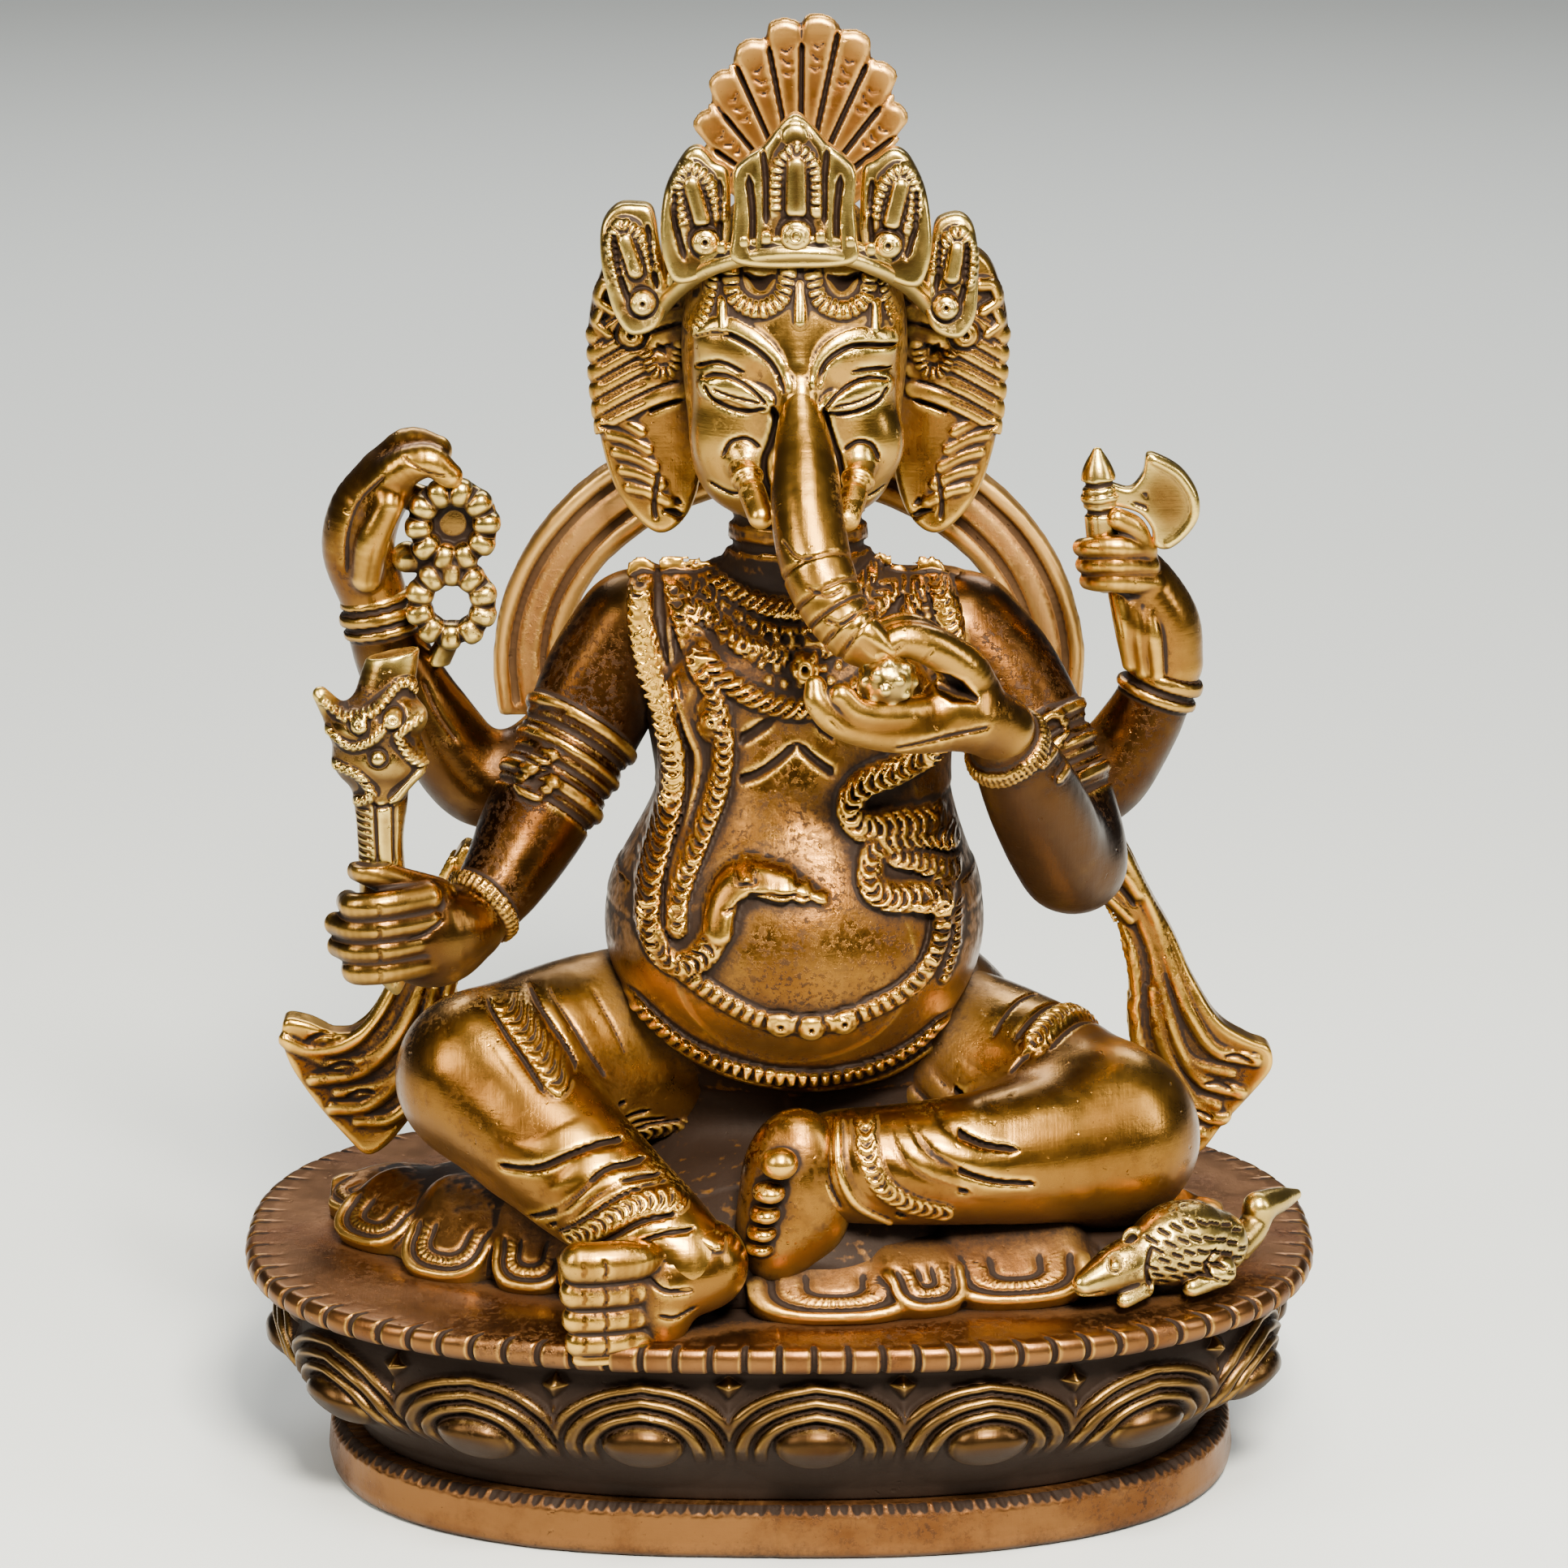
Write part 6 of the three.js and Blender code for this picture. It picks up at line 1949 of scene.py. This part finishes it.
def hem_tongue(tongue, floor, back=22):
    """A tongue of cloth on a slope: a raised line round its edge and a hatched band inside that."""
    cx, cy, _, along, deep, _, _, top = tongue
    reach = along + 0.5 * back + 6

    def distance(x, y, z):
        u, v, w, edge = tongue_place(x, y, z, tongue)
        lip = 0.6 * np.exp(-(((edge + 1.0) / 0.8) ** 2)) - 0.9 * np.exp(-(((edge + 2.4) / 0.6) ** 2))
        lip = lip - 0.7 * np.exp(-(((edge + 5.8) / 0.6) ** 2))
        phase = np.arctan2(v / deep, u / along) * (along + deep) / 2 / 2.0
        band = np.clip(1 - ((edge + 4.1) / 1.4) ** 4, 0, 1)
        lip = (lip + band * (0.6 * np.abs(np.sin(math.pi * phase)) ** 0.7 - 0.2)) * np.clip(v / 2.5 + 1.6,
                0, 1)
        fall = 0.12 * np.maximum(np.abs(u) - 0.7 * along, 0) ** 2 * np.clip(-v / 4, 0, 1)
        slope = w - 1.2 - lip + fall
        cap = z - top + 0.02 * np.maximum(-v - 8, 0) ** 2 + fall
        rise = np.maximum(slope, cap) + np.maximum(4 - np.abs(slope - cap), 0) ** 2 / 16
        body = np.maximum(np.maximum(edge, rise), -v - back)
        return np.maximum(body, floor - z)

    return Form((cx - reach, cy - reach, floor - 1), (cx + reach, cy + reach, top + 3), distance)


def seat_cloth():
    """The cloth under the legs: a thin spread whose hem lies in sloping tongues with a hatched edge."""
    low, high = node_box("seat_cloth")
    clay = Clay(low - (4, 5, 2), high + (4, 4, 18), GRAIN)
    plan = [(-62, 34), (-82, 14), (-88, 2), (-84, -12), (-74, -26), (-64, -32), (-52, -40), (-40, -44),
            (-28, -47),
            (-14, -47), (-2, -52), (12, -56), (28, -54), (46, -48), (60, -42), (74, -32), (85, -12),
            (84, 10), (66, 34), (4, 44)]
    clay.add(slab(plan, low[2], low[2] + 2.6, side="top", edge=1.1))
    for x, y, tall in ((-60, -4, 12), (60, -4, 12), (-20, -26, 5), (20, -30, 7), (0, 10, 6)):
        clay.add(blob((x, y, low[2] + 1), (24, 24, tall)), blend=6)
    for tongue in HEM:
        clay.add(hem_tongue(tongue, low[2]), blend=0.8)
    top = Relief(clay, "top")
    for start, end in (((60, -8), (82, 2)), ((-20, 30), (-30, 40)), ((10, 30), (12, 42)),
            ((40, 26), (52, 36)),
                       ((-46, 26), (-60, 30)), ((-62, 4), (-80, 10)), ((-8, -30), (-12, -46)),
                       ((0, -30), (-3, -50))):
        mid = ((start[0] + end[0]) / 2 + 1.5, (start[1] + end[1]) / 2 + 1.5)
        top.groove([start, mid, end], 1.1, 0.9)
    top.press()
    clay.d = np.maximum(clay.d, (low[2] + 0.05 - clay.axes[2])[None, None, :])
    remember(clay)

    def painted_shade(v):
        """Painted shade in the lap and where the cloth runs back under the legs, with a faint even darkening
        over all the cloth.
        """
        nearest = np.full(len(v), 99.0)
        for tongue in HEM:
            _, down, _, edge = tongue_place(v[:, 0], v[:, 1], v[:, 2], tongue)
            nearest = np.minimum(nearest, np.maximum(edge, -down))
        lap = soft_step(nearest, 2, 12)
        return 0.014 + 0.075 * lap

    cast("seat_cloth_casting", clay, CLOTH, "cloth_casting", ["seat_cloth"], rough=0.2, seed=101, painted_shade=painted_shade)


def mouse():
    low, high = node_box("mouse")
    clay = Clay(low - (5, 5, 3.5), high + (5, 5, 6), FINE)
    clay.add(blob((80.5, -42, 60.2), (12.0, 7.8, 8.6), (0, 0, 35)))
    clay.add(blob((88, -36, 57.6), (7.5, 6.6, 7), (0, 0, 40)), blend=2)
    clay.add(limb((74, -46.5, 59.0, 5.6), (69, -49.4, 58.0, 5.2), (64.5, -52, 56.8, 3.9),
            (61, -54, 55.9, 2.5)), blend=2)
    clay.add(blob((71.0, -47.6, 63.4), (2.6, 1.5, 2.4), (0, 0, 30)), blend=0.5)
    clay.add(blob((75.0, -43.0, 64.6), (2.4, 1.4, 2.2), (0, 0, 30)), blend=0.5)
    clay.cut(blob((70.4, -49.2, 63.6), (1.4, 0.9, 1.3), (0, 0, 30)), blend=0.4)
    clay.add(limb((73, -51, 54, 2.2), (69, -54.5, 52.6, 1.6)), blend=0.8)
    clay.add(limb((89, -43, 54.5, 3.2), (83, -48, 52.8, 2.0)), blend=0.8)
    clay.add(limb((93, -30, 54.5, 3.4), (96.5, -26, 57, 3.3), (98.5, -23.5, 60.4, 3.1)), blend=1.6)
    clay.add(limb((98, -24.5, 61.2, 3.3), (102.5, -19.5, 61.0, 2.6), (106.5, -15, 60.6, 1.2)), blend=0.8)
    front = Relief(clay, "front")
    for row in range(5):
        for k in range(8):
            x = 73.5 + 2.6 * k + 1.3 * (row % 2)
            z = 66.6 - 2.6 * row - 0.04 * (x - 81) ** 2
            front.groove([(x, z), (x + 2.0, z - 1.0)], 0.38, 0.9, smooth=False, taper=False)
    front.groove([(74.5, 63), (73.4, 58.6), (74.4, 54)], 0.6, 1.0)
    front.groove([(88, 60.5), (85.6, 57.5), (87, 54)], 0.6, 0.9)
    front.dome((67.0, 60.2), 1.0, 0.7)
    front.groove([(58, 54.8), (61, 54.4), (65, 54.8)], 0.35, 0.5)
    front.press()
    top = Relief(clay, "top")
    for k in range(8):
        x, y = 78.5 + 2.2 * k, -45.5 + 1.9 * k
        top.groove([(x, y), (x + 1.4, y + 1.6)], 0.4, 0.5, smooth=False)
        top.groove([(x - 1.6, y + 2.4), (x - 0.2, y + 4.0)], 0.4, 0.5, smooth=False)
    top.press()
    clay.d = np.maximum(clay.d, (low[2] + 0.1 - clay.axes[2])[None, None, :])
    remember(clay)
    cast("mouse_casting", clay, ORNAMENT, "ornament_casting", ["mouse"], rough=0.12, seed=105)


scarf_arch()
scarf_tails()
seat_cloth()
mouse()


open_shade()

# ---------------------------------------------------------------- floor, light and camera

def stage_floor():
    material = bpy.data.materials.new("floor_paper")
    material.use_nodes = True
    shader = material.node_tree.nodes["Principled BSDF"]
    shader.inputs["Base Color"].default_value = (0.62, 0.66, 0.655, 1)
    shader.inputs["Roughness"].default_value = 0.5
    mesh = bpy.data.meshes.new("floor_sheet")
    reach = 3.0
    mesh.from_pydata([(-reach, -reach, 0), (reach, -reach, 0), (reach, reach, 0), (-reach, reach, 0)], [],
            [(0, 1, 2, 3)])
    mesh.materials.append(material)
    floor = bpy.data.objects.new("floor_sheet", mesh)
    bpy.context.scene.collection.objects.link(floor)
    floor.location.z = cad_box[0][2] - 0.0004


def soft_light(name, place, target, size, power, colour=(1, 1, 1)):
    data = bpy.data.lights.new(name, "AREA")
    data.shape = "RECTANGLE"
    data.size, data.size_y = size
    data.energy = power
    data.color = colour
    lamp = bpy.data.objects.new(name, data)
    lamp.location = place
    lamp.rotation_mode = "QUATERNION"
    lamp.rotation_quaternion = (Vector(target) - Vector(place)).to_track_quat("-Z", "Y")
    bpy.context.scene.collection.objects.link(lamp)


for peg in ("seat_peg_right", "seat_peg_left"):
    pin = bpy.data.objects[peg]
    pin.data.materials.clear()
    pin.data.materials.append(BASE)

stage_floor()
MIDDLE = (0.0, 0.0, 0.15)
soft_light("window_left", (-0.85, -0.55, 0.75), MIDDLE, (0.35, 0.6), 10.0, (1.0, 0.93, 0.82))
soft_light("window_right", (0.85, -0.35, 0.60), MIDDLE, (0.2, 0.6), 5.0, (1.0, 0.98, 0.95))
soft_light("ceiling", (0.10, -0.45, 1.10), MIDDLE, (0.5, 0.3), 17.0, (1.0, 0.95, 0.86))
soft_light("key", (0.20, -0.95, 1.05), MIDDLE, (0.34, 0.26), 68.0, (1.0, 0.91, 0.77))
soft_light("backdrop", (0.0, 1.3, 1.2), (0.0, 0.9, 0.0), (1.6, 0.6), 22.0, (1.0, 1.0, 1.0))

world = bpy.data.worlds.new("pale_room")
world.use_nodes = True
world.node_tree.nodes["Background"].inputs["Color"].default_value = (0.86, 0.87, 0.92, 1)
world.node_tree.nodes["Background"].inputs["Strength"].default_value = 0.07
bpy.context.scene.world = world

camera_data = bpy.data.cameras.new("camera")
camera_data.sensor_width = 36.0
camera_data.lens = 130.7
camera_data.shift_x = 0.003
camera_data.shift_y = -0.024
camera = bpy.data.objects.new("camera", camera_data)
camera.location = (0.0, -1.120, 0.468)
camera.rotation_euler = (math.radians(90 - 15.74), 0, 0)
bpy.context.scene.collection.objects.link(camera)
bpy.context.scene.camera = camera
